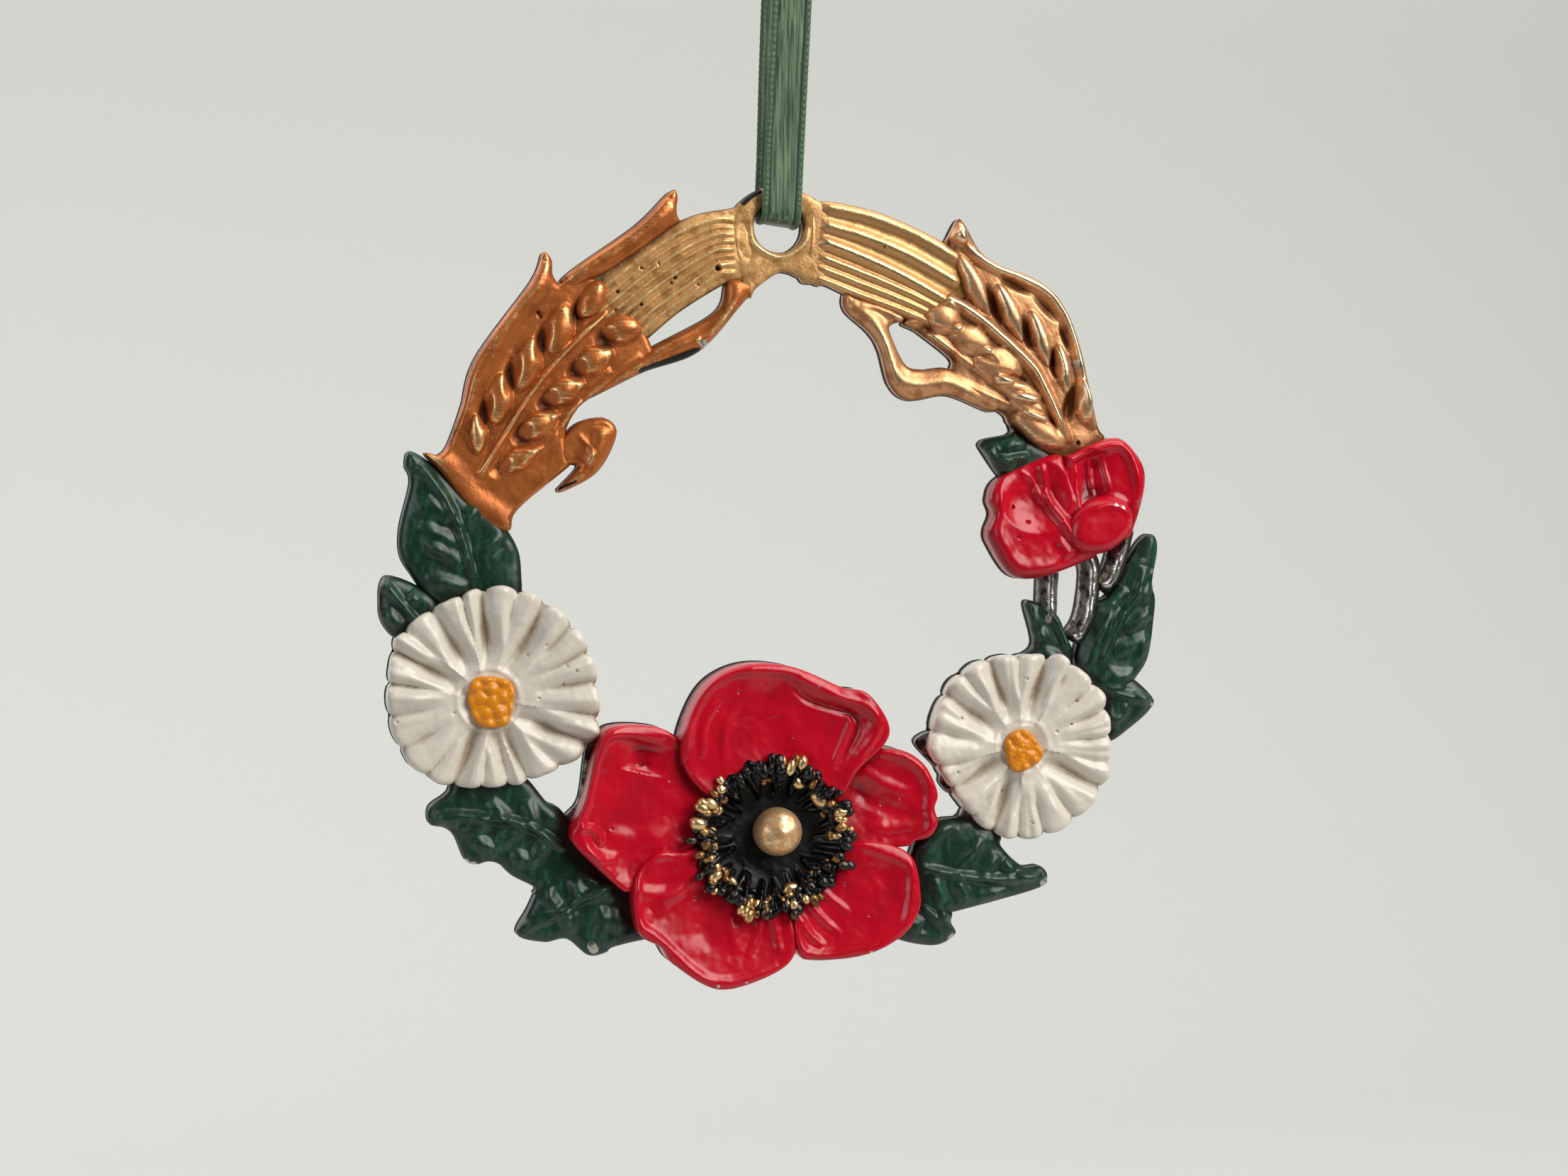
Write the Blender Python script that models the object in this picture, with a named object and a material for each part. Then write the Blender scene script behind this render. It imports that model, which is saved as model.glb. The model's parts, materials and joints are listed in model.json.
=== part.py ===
"""A painted pewter wreath ornament, hung on a loop of narrow satin ribbon.

The wreath is one casting with a flat back: a neck with a hole, straws, two ears of wheat,
leaves, two daisies, a large poppy and a small one. The ribbon is its second piece.
It passes through the hole and hangs from the top of its loop, which is the origin.
+X is the wreath's right as seen from the front, the front faces -Y, and +Z is up.

Driving sizes are in millimetres. The casting is drawn in hundredths of its own height:
(right, up) from the middle of the ring, and heights of the carving in the same unit.
"""
import math

import bmesh
import bpy
import numpy as np
from mathutils.geometry import delaunay_2d_cdt

# Driving sizes of the casting
WREATH_HEIGHT = 64.7
NECK_THICKNESS = 1.9
STRAW_THICKNESS = 1.8
EAR_THICKNESS = 1.9
LEAF_THICKNESS = 1.9
WEB_THICKNESS = 1.3
STEM_RADIUS = 0.9
STEM_HEIGHT = 1.8
DAISY_THICKNESS = 2.75
DAISY_EYE_HEIGHT = 3.0
PETAL_THICKNESS = 2.5
PETAL_OVERLAP = 0.35
STAMENS_HEIGHT = 3.75
STIGMA_HEIGHT = 4.9
SMALL_POPPY_THICKNESS = 2.7
SMALL_POPPY_KNOB_HEIGHT = 3.7
THINNEST = 0.6

# Driving sizes of the ribbon, and the hole that it passes through
RIBBON_WIDTH = 3.3
RIBBON_THICKNESS = 0.25
RIBBON_CLEARANCE = 0.3
RIBBON_TILT = 8.0
RIBBON_STEP = 0.7
HOLE_SIDE_GAP = 0.4
LOOP_DROP = 22.5
LOOP_LEAN = 1.0
LOOP_SPREAD = 4.2
HOLE_RADIUS = RIBBON_WIDTH / 2 + HOLE_SIDE_GAP

# The hole's middle and the mesh's fineness, in hundredths of the height
HOLE = (1.5, 45.3)
MESH_STEP = 2.3
FINE_STEP = 0.9 * MESH_STEP
CURVE_STEP = 1.9

# Every face of the casting is slightly domed, most of all near its edge, and none is dead flat
CROWN = 0.06
CROWN_REACH = 4.0
WAVINESS = 0.05
WAVE_LENGTH = 0.7

MM = 0.001
UNIT = WREATH_HEIGHT / 100
BACK_Y = NECK_THICKNESS / 2
CENTRE_X = -LOOP_LEAN - HOLE[0] * UNIT
CENTRE_Z = -LOOP_DROP - HOLE[1] * UNIT
CORNER = 1


# Lines on the face of the casting
def points(drawn):
    """Drawn points as an array of right, up and 1 for a corner."""
    return np.array([(p[0], p[1], p[2] if len(p) > 2 else 0) for p in drawn], float)


def curve(drawn, step=CURVE_STEP, closed=False):
    """A smooth line through points, sampled about every step."""
    p = points(drawn)[:, :2]
    n = len(p)
    line = []
    for i in range(n if closed else n - 1):
        a, b = p[i], p[(i + 1) % n]
        before = p[i - 1] if closed or i > 0 else 2 * a - b
        after = p[(i + 2) % n] if closed or i < n - 2 else 2 * b - a
        count = max(1, round(np.linalg.norm(b - a) / step))
        for t in np.arange(count) / count:
            line.append(0.5 * (2 * a + (b - before) * t + (2 * before - 5 * a + 4 * b - after) * t**2
                               + (3 * a - before - 3 * b + after) * t**3))
    if not closed:
        line.append(p[-1])
    return np.array(line)


def outline(drawn, step=CURVE_STEP):
    """A closed line, smooth but for its corners."""
    p = points(drawn)
    corners = [i for i in range(len(p)) if p[i, 2]]
    if not corners:
        return curve(p, step, closed=True)
    p = np.roll(p, -corners[0], axis=0)
    corners = [i for i in range(len(p)) if p[i, 2]] + [len(p)]
    p = np.r_[p, p[:1]]
    return np.concatenate([curve(p[a:b + 1], step)[:-1] for a, b in zip(corners, corners[1:])])


def sideways(line):
    """Unit vectors to the left of a line's direction."""
    along = np.gradient(line, axis=0)
    return np.c_[-along[:, 1], along[:, 0]] / np.linalg.norm(along, axis=1)[:, None]


def near_line(spots, line):
    """Each spot's distance from a line, and how far along it the nearest place is, 0 to 1."""
    run = line[1:] - line[:-1]
    lengths = np.maximum(np.linalg.norm(run, axis=1), 1e-9)
    starts = np.r_[0, np.cumsum(lengths)[:-1]]
    share = np.einsum("sij,ij->si", spots[:, None] - line[:-1], run) / lengths**2
    share = np.clip(share, 0, 1)
    gaps = np.linalg.norm(spots[:, None] - line[:-1] - share[..., None] * run, axis=2)
    nearest = gaps.argmin(1)
    rows = np.arange(len(spots))
    along = starts[nearest] + share[rows, nearest] * lengths[nearest]
    return gaps[rows, nearest], along / lengths.sum()


def inside(spots, edge):
    """Which spots lie inside a closed line."""
    odd = np.zeros(len(spots), bool)
    for (x0, y0), (x1, y1) in zip(edge, np.roll(edge, -1, axis=0)):
        if y0 != y1:
            crosses = (spots[:, 1] < y0) != (spots[:, 1] < y1)
            odd ^= crosses & (spots[:, 0] < x0 + (spots[:, 1] - y0) / (y1 - y0) * (x1 - x0))
    return odd


# Carving: each maker gives a function that lifts the face, and the lines that the mesh follows
def ridge(path, width, height, fade=0.2, end_width=None):
    """A raised rounded line, or a groove where the height is below 0."""
    line = curve(path, 0.8)
    end_width = width if end_width is None else end_width

    def lift(spots):
        far, along = near_line(spots, line)
        half = (width + (end_width - width) * along) / 2
        ends = np.sqrt(np.clip(np.minimum(along, 1 - along) / fade, 0, 1)) if fade else 1
        return height * np.clip(1 - (far / half) ** 2, 0, 1) * ends

    crest = curve(path)
    half = np.linspace(width, end_width, len(crest))[:, None] / 2
    return lift, [crest, crest + sideways(crest) * half, crest - sideways(crest) * half]


def mound(middle, length, width, turn, height):
    """A domed oval, its length turned in degrees from the right."""
    c, s = math.cos(math.radians(turn)), math.sin(math.radians(turn))
    axes = np.array([[c, s], [-s, c]])

    def lift(spots):
        q = (spots - middle) @ axes.T / (length / 2, width / 2)
        return height * np.sqrt(np.clip(1 - (q * q).sum(1), 0, 1))

    spine = middle + np.array([[-0.3, 0], [0, 0], [0.3, 0]]) * length @ axes
    shoulder = ellipse(middle, 0.9 * length, 0.9 * width, turn, 8)
    foot = ellipse(middle, length, width, turn, 9)
    return lift, [spine, shoulder, foot]


# A relief piece: its outline, raised to a thickness, with a rounded edge and carving on its face
PIECES = []


def relief(colour, edge, thickness, edge_drop, carving=(), edge_round=0.8, step=MESH_STEP):
    """Adds one closed piece of the casting; thickness in mm, the rest in hundredths."""
    edge = np.asarray(edge)
    rim = np.r_[edge, edge[:1]]
    area = np.sum(edge[:, 0] * np.roll(edge[:, 1], -1) - edge[:, 1] * np.roll(edge[:, 0], -1))
    along = np.roll(edge, -1, axis=0) - np.roll(edge, 1, axis=0)
    inward = np.c_[-along[:, 1], along[:, 0]] / np.linalg.norm(along, axis=1)[:, None] * np.sign(area)
    rows = np.arange(edge[:, 1].min(), edge[:, 1].max(), step * math.sin(math.radians(60)))
    columns = np.arange(edge[:, 0].min(), edge[:, 0].max(), step)
    grid = np.array([(x + (i % 2) * step / 2, y) for i, y in enumerate(rows) for x in columns])

    spots = list(edge)
    links = []

    def add(line, edge_gap, gap, linked=False):
        """Adds the line's points that lie clear of the edge and of those already there."""
        clear = inside(line, edge) & (near_line(line, rim)[0] > edge_gap)
        last = None
        for spot, free in zip(line, clear):
            free = free and np.min(np.linalg.norm(np.array(spots) - spot, axis=1)) > gap
            if free:
                if linked and last is not None:
                    links.append((last, len(spots)))
                spots.append(spot)
            last = len(spots) - 1 if free else None

    guides = [lines for _, lines in carving]
    for order in range(max((len(lines) for lines in guides), default=0)):
        for lines in guides:
            if order < len(lines):
                add(lines[order], 0.5 * edge_round, 0.35 * step, True)
    add(edge + inward * edge_round, 0.8 * edge_round, 0.5 * step)
    add(grid, edge_round + 0.5 * step, 0.8 * step)

    rim_count = len(edge)
    spots, triangles = triangulated(spots, rim_count, links)
    off_rim = near_line(spots, rim)[0]
    off_rim[:rim_count] = 0
    height = thickness / UNIT + CROWN * CROWN_REACH * (1 - np.exp(-off_rim / CROWN_REACH))
    height += WAVINESS * np.sin(spots[:, 0] / WAVE_LENGTH) * np.cos(spots[:, 1] / WAVE_LENGTH)
    for lift, _ in carving:
        height += lift(spots)
    d = np.clip(off_rim / edge_round, 0, 1)
    height -= edge_drop * (1 - np.sqrt(1 - (1 - d) ** 2))
    PIECES.append((colour, spots, np.maximum(height, THINNEST / UNIT), rim_count, triangles))


def triangulated(spots, rim_count, links=()):
    """Spots and triangles inside the line of the first rim_count spots, with the links as edges."""
    lines = [(i, (i + 1) % rim_count) for i in range(rim_count)] + list(links)
    made, _, triangles, *_ = delaunay_2d_cdt([tuple(q) for q in spots], lines, [], 1, 1e-5)
    return np.array([tuple(q) for q in made]), triangles


def ellipse(middle, length, width, turn=0, count=20):
    """A closed oval line, its length turned in degrees from the right."""
    c, s = math.cos(math.radians(turn)), math.sin(math.radians(turn))
    t = np.arange(count) * math.tau / count
    return middle + np.c_[np.cos(t) * length / 2, np.sin(t) * width / 2] @ np.array([[c, s], [-s, c]])


# Neck and straws
RIGHT_STRAW_RIDGE = 0.65


def neck():
    edge = [(-4.2, 47.2), (0.8, 50.5), (7.5, 48.1), (7.8, 43.7), (7.5, 38.5), (5.8, 38.4),
            (2.1, 39.7), (-1.3, 37.7), (-2.3, 36.6), (-4.2, 41.9)]
    lip = ridge([(-1.7, 43.1), (-0.3, 41.9), (1.5, 41.5), (3.2, 42), (4.6, 43.2)], 1.5, 0.4, 0.3)
    relief("straw", outline(edge), NECK_THICKNESS, 0.5, [lip])


def straws(edge, outer, inner, shares, width, height, end_width=None):
    """A flat sheaf; each ridge runs at its own share of the way between two edges."""
    outer, inner = points(outer)[:, :2], points(inner)[:, :2]
    ridges = [ridge(outer * (1 - s) + inner * s, width, height, 0.12, end_width) for s in shares]
    relief("straw", outline(edge), STRAW_THICKNESS, 0.6, ridges, 0.7, 0.7 * MESH_STEP)


def left_straws():
    edge = [(-3.4, 47.4), (-5, 47.5), (-11, 45.9), (-20.3, 39.8), (-21.7, 37.9), (-20.4, 35.5),
            (-15, 31.2, CORNER), (-11, 34.6), (-5.7, 37.9), (-3.8, 38.5), (-1.9, 38.1),
            (-1.3, 40), (-1.9, 43.5)]
    outer = [(-3.3, 46.5), (-6.6, 46.6), (-11.1, 44.9), (-16.5, 41.5), (-20.9, 37.9)]
    inner = [(-3.2, 38.5), (-6.1, 38.5), (-9.7, 35.9), (-12.9, 33.7), (-16, 31)]
    straws(edge, outer, inner, (0.08, 0.27, 0.46, 0.65, 0.84), 1.9, 0.45)


def right_straws():
    edge = [(5.9, 48.6), (6.2, 48.5), (8.7, 48.6), (15.8, 47), (22.7, 43.8), (24.6, 41.3),
            (24.6, 38.6), (23.2, 35), (20.8, 33.4), (15.2, 34.7), (8.2, 38), (4.3, 39.3)]
    outer = [(6.1, 48.1), (8.7, 48.1), (13, 47.4), (18.1, 45.4), (23.2, 42.8)]
    inner = [(5.2, 38.5), (7.5, 38.2), (11.2, 36.7), (14.9, 34.9), (18.1, 34)]
    straws(edge, outer, inner, (0.04, 0.22, 0.42, 0.66, 0.81, 0.95), 1.7, RIGHT_STRAW_RIDGE, 1.9)


# Ears of wheat, with the awns and hooks that end them
GRAIN_LIFT = 1.1


def bar(edge, path, width, height, edge_drop=0.95, edge_round=0.7):
    """A narrow raised piece with one ridge along it."""
    carving = [ridge(path, width, height, 0.15)]
    relief("copper", outline(edge), EAR_THICKNESS, edge_drop, carving, edge_round, 0.9 * MESH_STEP)


def ear(edge, rim, stalk, grains):
    """Rim and stalk: a path, two widths and a height. Grains: a middle, length, width and turn."""
    carving = []
    for path, width, end_width, height in (stalk, rim):
        carving.append(ridge(path, width, height, 0.12, end_width))
    for middle, length, width, turn in grains:
        carving.append(mound(middle, length, width, turn, GRAIN_LIFT))
    relief("copper", outline(edge), EAR_THICKNESS, 1.0, carving, 0.85, 0.6 * MESH_STEP)


def left_ear():
    bar([(-26.1, 37.9), (-24.4, 39.8), (-16.5, 45.4), (-12.3, 49.5), (-11.2, 48.6), (-11.4, 47),
         (-10.9, 45.8, CORNER), (-19.2, 39.9), (-24.3, 37.3)],
        [(-25.4, 38.3), (-16.1, 44.1), (-12.2, 48.3)], 2.3, 0.7)
    bar([(-2.1, 38.4), (-1.7, 37.5), (-3.2, 35.5), (-8.7, 29.6), (-15.7, 27), (-23, 23.5),
         (-20.9, 25.8), (-15.1, 29.9), (-6.5, 34.7), (-4.9, 38.6)],
        [(-3.7, 38.2), (-4.8, 35), (-7.5, 31.9), (-12, 30.1), (-21, 25.2)], 1.7, 0.4)
    bar([(-24.3, 20.5), (-20.7, 21.4), (-19, 19.4), (-21.4, 14.7), (-25.8, 12.2),
         (-26.5, 12.5, CORNER), (-24, 15.3), (-25.8, 15.6), (-26.5, 17.4)],
        [(-21, 20.2), (-24.1, 15.2)], 1.6, 0.5)
    edge = [(-26.3, 37.9, CORNER), (-27.2, 39.1), (-27.9, 41.9), (-29.7, 38.2), (-36.6, 28.7),
            (-38.4, 22.6), (-40.1, 18), (-41.2, 16.7, CORNER), (-42.9, 16.9), (-40.9, 14.5),
            (-37.8, 10.4), (-33.9, 7.3), (-32.3, 7.5, CORNER), (-31.3, 10.1),
            (-24.9, 15.4, CORNER), (-25.4, 19.4), (-24, 22.4), (-22.1, 24, CORNER), (-16, 27),
            (-14.3, 29.2), (-16.1, 33.2), (-17.8, 34.7), (-19.9, 37.8), (-23.9, 39.2)]
    rim = [(-27.9, 40.8), (-29.6, 36.7), (-32.9, 32.7), (-37.4, 23.8), (-38.6, 19.5)]
    stalk = [(-19.9, 33.9), (-26.8, 27.6), (-34.2, 18.4), (-36.7, 13.4)]
    grains = [
        ((-22.1, 36.3), 4.6, 2.9, -112),
        ((-26, 32.9), 5.1, 3.2, -104),
        ((-30.3, 28.1), 5.0, 2.9, -100),
        ((-33.6, 23.7), 5.0, 2.9, -95),
        ((-37.1, 20), 5.2, 2.8, -80),
        ((-18.2, 32.5), 3.7, 4.0, 10),
        ((-20.9, 28.6), 5.0, 3.1, 30),
        ((-24.5, 24.6), 5.0, 3.1, 32),
        ((-27.6, 20.9), 5.1, 3.1, 30),
        ((-30.6, 16.9), 5.2, 3.1, 28),
    ]
    ear(edge, (rim, 2.2, 2.9, 0.75), (stalk, 1.0, 1.0, 0.55), grains)


def right_ear():
    bar([(10.2, 37.2), (10.3, 35), (13.3, 32.3), (14.7, 30.1), (16.1, 25.6), (18.7, 23.7),
         (23.9, 24.3), (29.6, 22.3), (30.4, 24.2), (27.4, 26.2), (23.4, 27.9), (20.1, 27.7),
         (18, 28.4), (16.1, 32.2), (16.3, 33.3), (17.7, 33.8), (17.1, 34.9), (12.1, 36.6)],
        [(10.8, 35.5), (14.3, 33.1), (16.7, 26.8), (19.4, 25.7), (23.6, 26), (27.8, 24)], 1.9, 0.55)
    edge = [(23.5, 44.1, CORNER), (24.8, 46.6), (27.3, 43.1), (29, 41.7), (36.3, 38.7),
            (40.6, 32.6), (43.4, 21.4), (44.6, 19), (43.3, 16.1), (39.5, 15.7), (35.9, 17.2),
            (31.8, 20.9, CORNER), (30.7, 22.3), (25, 24.3), (23.2, 25.6), (24.3, 28.1, CORNER),
            (24, 29.2), (19.9, 32.3), (17.8, 33.7), (22.5, 36.5), (24.1, 39.2)]
    rim = [(27.9, 42.4), (29.2, 41.3), (36, 38.2), (38.5, 35.8), (40, 32.4), (43.1, 20.2)]
    stalk = [(22.8, 39.2), (24.4, 36.3), (28.2, 34.4), (34.9, 27.7), (39.3, 18.7)]
    grains = [
        ((26.6, 40), 6.5, 2.5, -56),
        ((30.8, 36.2), 6.5, 2.8, -66),
        ((34.8, 32.5), 6.5, 2.8, -70),
        ((38.2, 28.5), 6.0, 2.5, -88),
        ((41.9, 21.4), 4.0, 2.4, 60),
        ((23.2, 34.3), 4.3, 3.5, -25),
        ((26.4, 31.5), 5.3, 3.2, -15),
        ((30.1, 28.6), 6.0, 3.9, -12),
        ((32, 25.2), 6.0, 3.1, -22),
        ((34.9, 20.1), 6.8, 3.6, -32),
    ]
    ear(edge, (rim, 1.5, 1.5, 0.7), (stalk, 1.7, 1.4, 0.93), grains)


# Leaves, bare stems and the dark metal that bridges the gaps
MIDRIB_LIFT = 0.54
VEIN_LIFT = 0.34


def leaf(edge, midrib, veins=(), rise=0.0):
    """A leaf with a raised midrib and thinner veins; rise lifts it over its neighbour."""
    carving = [ridge(midrib, 1.4, MIDRIB_LIFT, 0.15, 0.9)]
    carving += [ridge(vein, 1.2, VEIN_LIFT, 0.25, 0.9) for vein in veins]
    relief("green", outline(edge), LEAF_THICKNESS + rise, 1.0, carving, 0.85)


def left_leaves():
    leaf([(-44.7, 17.2), (-45.3, 15.4), (-44.7, 13.4), (-46, 7.8), (-45.9, 4.3),
          (-44.3, 1.6, CORNER), (-42.7, -0.5), (-39.3, -2.7), (-34.2, -2.7), (-31.2, -1),
          (-30.9, 0.7, CORNER), (-31.4, 5.1), (-34, 9.1), (-37.7, 11.7), (-41.8, 15.5)],
         [(-43.6, 15.6), (-39.7, 9.8), (-37.1, 1.7)],
         [[(-39.9, 8.7), (-43.1, 11.7)],
          [(-38.8, 5.6), (-43.8, 8.2)],
          [(-38.2, 3), (-40.8, 4.8), (-43.2, 5.5)],
          [(-38.6, 7.8), (-36.7, 10.1), (-35.7, 10.6)],
          [(-37.3, 4.3), (-33.2, 7.2)]])
    leaf([(-47.8, 1.9), (-48.5, -2.7), (-46.9, -5.5), (-44.7, -6.1), (-41.2, -4.8), (-41, -2.2),
          (-42.9, 0.2)],
         [(-47.7, 0.9), (-43.9, -3.9)], rise=-0.05)
    leaf([(-42.5, -26.5), (-40.3, -24.8), (-39.2, -22.6), (-34, -21.8), (-30.6, -23.1),
          (-28, -26.1), (-26, -27.4), (-22.8, -32.4), (-20.2, -36), (-21.1, -38.6),
          (-26.4, -38.9), (-29.5, -37.8), (-29.4, -36.9), (-32.3, -35.3), (-33.8, -33.9),
          (-35.2, -33.5), (-36.8, -33.8), (-38.1, -33.2), (-39.3, -30.4), (-40.6, -29.2),
          (-42.5, -28.6)],
         [(-41.8, -27.4), (-33, -28.3), (-29.3, -29.7), (-25.8, -32.2)],
         [[(-33, -28.3), (-35.3, -25.7)],
          [(-29.3, -29.7), (-30.7, -25.8)],
          [(-35.3, -28.3), (-38.8, -29.9)],
          [(-30.9, -29.1), (-35.3, -32)],
          [(-27.8, -30.6), (-30.4, -34.3)]])
    leaf([(-30.2, -39.4), (-31.7, -42.6), (-28.3, -43.7), (-25.5, -43.4), (-22.8, -45.5),
          (-20.6, -45.3), (-19.5, -44.6), (-15.3, -43.8), (-13.5, -44.1), (-13.9, -40.6),
          (-17.3, -36.2), (-20.6, -34), (-25.1, -34), (-27.9, -35)],
         [(-30.9, -41.6), (-26.9, -40.1), (-22.9, -37.8), (-18.5, -36)],
         [[(-25.6, -39.5), (-25.2, -41.1), (-25.6, -42.6)],
          [(-22.5, -37.8), (-21.3, -40.7), (-21.6, -44.3)],
          [(-26.5, -39.8), (-27.8, -38.2), (-28.1, -36.6)],
          [(-23.8, -38.1), (-25.1, -35.6)]], rise=0.1)


def right_leaves():
    leaf([(37.1, -37.6), (36.2, -36), (33.7, -35.9), (30.9, -33.3), (30.8, -31.9), (28.2, -29.9),
          (22.6, -29.7), (19.5, -32.5), (18.5, -37.4), (19.9, -42.5), (21.9, -42.2), (35.2, -39.1)],
         [(36, -37.3), (28.5, -37.3), (20, -35.7)],
         [[(24.2, -36.5), (27.9, -31.7)],
          [(27.9, -37.3), (30.1, -34.2)],
          [(24.2, -36.8), (26.3, -40.4)],
          [(21.4, -36.4), (22.8, -40.3)]])
    leaf([(24.2, -41.3), (24.3, -42.9), (24.8, -44.5), (22, -45.8), (17, -44.8), (15.3, -42.8),
          (18.1, -39.3), (20.7, -39.4)],
         [(23.8, -44.6), (19.1, -40.2)], rise=-0.05)
    leaf([(50.9, 6.7), (49, 5.1), (45.6, -0.8), (43.2, -2.7), (40.8, -9.1), (42.8, -12.8),
          (46.3, -15.5), (48.7, -12.4, CORNER), (50.7, -9), (51.6, -2.2), (51.2, 0.4), (51.9, 5.2)],
         [(49.9, 2.4), (48.3, -1.4), (46.2, -4.8), (44, -9.8)],
         [[(48.3, -1.4), (45, -3)],
          [(46.4, -4.7), (44.7, -5.3), (43.1, -7.1)],
          [(47.8, -3), (49.5, -2.1), (50.6, -0.8)],
          [(46.2, -6.2), (50.4, -4.2)],
          [(45, -8.5), (47.4, -8.3), (49.8, -7.2)]])
    leaf([(51.3, -14.4), (50.9, -16.2), (47.5, -19), (45.6, -20.1), (44.5, -19.3), (43.8, -16),
          (44.7, -12.8), (47.5, -11.4)],
         [(50.5, -15), (45, -13.5)],
         [[(47.5, -14.5), (46.3, -17.5)]], rise=-0.05)
    leaf([(34.1, -2.2), (35.2, -7.3), (33.2, -9.1), (34, -10.8), (39, -11.6), (40.6, -8.9),
          (39.4, -6), (38.3, -3.6), (35.5, -2)],
         [(34.2, -2.7), (36.1, -4.3), (39.3, -8.9)], rise=-0.1)
    leaf([(28.3, 18.7), (28.6, 17), (32.6, 12.5), (36.9, 14.3), (37.9, 16.8), (33.1, 19.6),
          (32, 20.8), (32, 19.6)],
         [(28.1, 17.9), (30.2, 16.3), (34, 17)],
         [[(30.2, 17.6), (33.5, 18.8)]], rise=-0.1)


def stem(path):
    """A bare round stalk."""
    middle = curve(path)
    side = sideways(middle) * STEM_RADIUS / UNIT
    edge = np.r_[middle + side, (middle - side)[::-1]]
    crown = ridge(path, 2 * STEM_RADIUS / UNIT, (STEM_HEIGHT - WEB_THICKNESS) / UNIT, 0)
    relief("metal", edge, WEB_THICKNESS, 0.15, [crown], 0.3)


def stems():
    stem([(37.3, 2.5), (37, -5.2)])
    stem([(42.3, 4.3), (43, 1.5), (42.2, -4.1), (40.4, -7.1)])
    stem([(47.5, 7.5), (45.9, 1.7), (44.3, -0.5)])


def webs():
    for edge in (
        [(-22.8, -19.4), (-23.9, -26), (-25.9, -29), (-21.8, -32.5), (-19.1, -23.7),
         (-20.8, -18.4)],
        [(19.5, -19.7), (22.6, -23.4), (22.9, -25.1), (24.6, -26.5), (27.4, -24.7), (25, -21),
         (22.5, -18.3)],
        [(22.4, -26.6), (22.1, -29.3), (25.1, -29.4), (26.6, -27.6), (29.8, -30.2),
         (27.9, -32.9), (23.3, -32.8), (20.9, -31.1)],
    ):
        relief("metal", outline(edge), WEB_THICKNESS, 0.3)


# Daisies
DAISY_HEART = 0.22
DAISY_SLOPE_END = 0.52
DAISY_NOTCH = 0.965
DAISY_TIP = 0.995
GROOVE_DEPTH = 0.53
DAISY_DISH = 0.62
EYE_DROP = 0.9
EYE_ROUND = 1.4
FLOWER_DROP = 0.55
FLOWER_ROUND = 0.55


def daisy(middle, petals, eye_radius, eye_height):
    """petals: where each begins, in degrees from the right, and how far it reaches.

    Its petals dip towards the eye, with a groove where two petals meet.
    """
    middle = np.array(middle)
    starts, reaches = np.array(petals, float).T
    spans = np.diff(np.r_[starts, starts[0] + 360])
    centres = starts + spans / 2

    def reach(angle):
        return np.interp(angle % 360, np.r_[centres - 360, centres, centres + 360], np.tile(reaches, 3))

    def spots_at(angles, shares):
        t = np.radians(angles)
        return middle + (reach(angles) * shares)[:, None] * np.c_[np.cos(t), np.sin(t)]

    def lift(spots):
        q = spots - middle
        angle = np.degrees(np.arctan2(q[:, 1], q[:, 0])) % 360
        share = np.clip(np.hypot(q[:, 0], q[:, 1]) / reach(angle), 0, 1)
        petal = np.searchsorted(starts, angle, side="right") - 1
        across = ((angle - starts[petal]) % 360) / spans[petal]
        grooved = np.clip((share - DAISY_HEART) / (DAISY_SLOPE_END - DAISY_HEART), 0, 1)
        dip = (1 - np.clip(share / DAISY_SLOPE_END, 0, 1)) ** 0.8
        return GROOVE_DEPTH * (np.sin(math.pi * across) ** 0.7 - 1) * grooved - DAISY_DISH * dip

    edge = np.stack([spots_at(starts + turn * spans, np.full(len(starts), share))
                     for turn, share in ((0, DAISY_NOTCH), (0.3, DAISY_TIP),
                         (0.7, DAISY_TIP))], axis=1)
    guides = [spots_at(np.full(len(shares), angle), np.array(shares))
              for angles, shares in ((starts, (0.35, 0.6, 0.88)), (centres, (0.42, 0.65, 0.9)))
              for angle in angles]
    relief("white", edge.reshape(-1, 2), DAISY_THICKNESS, FLOWER_DROP, [(lift, guides)], FLOWER_ROUND,
           FINE_STEP)
    eye = ellipse(middle, 2 * eye_radius, 2 * eye_radius)
    relief("yellow", eye, eye_height, EYE_DROP, (), EYE_ROUND)


def daisies():
    daisy((-35.4, -13.3), [(7, 14.0), (24, 14.1), (40, 14.1), (58, 14.1), (74, 14.2), (91, 13.7),
                           (104, 13.2), (122, 13.4), (140, 13.7), (152, 12.7), (170, 12.4),
                           (189, 12.4), (209, 12.5), (230, 12.0), (248, 11.1), (265, 10.9),
                           (283, 11.3), (297, 11.8), (317, 13.4), (334, 14.5),
                           (349, 13.9)], 3.2, DAISY_EYE_HEIGHT)
    daisy((33, -20.3), [(6, 12.3), (22, 12.9), (39, 12.6), (57, 12.9), (73, 11.8), (92, 11.8),
                        (110, 12.2), (129, 12.3), (146, 12.0), (170, 12.2), (192, 10.8),
                        (210, 10.7), (235, 11.5), (252, 12.0), (268, 12.1), (286, 12.2),
                        (307, 12.3), (333, 12.7), (349, 12.2)], 2.7, DAISY_EYE_HEIGHT)


# Large poppy
POPPY = (0.1, -31.1)
PETAL_CUP = 0.85
CUP_START = 9.5
CUP_END = 22.0
PETAL_RIM = 0.75
PETAL_RIM_WIDTH = 2.5
FOLD_WIDTH = 1.3
FOLD_DEPTH = 0.4


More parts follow.
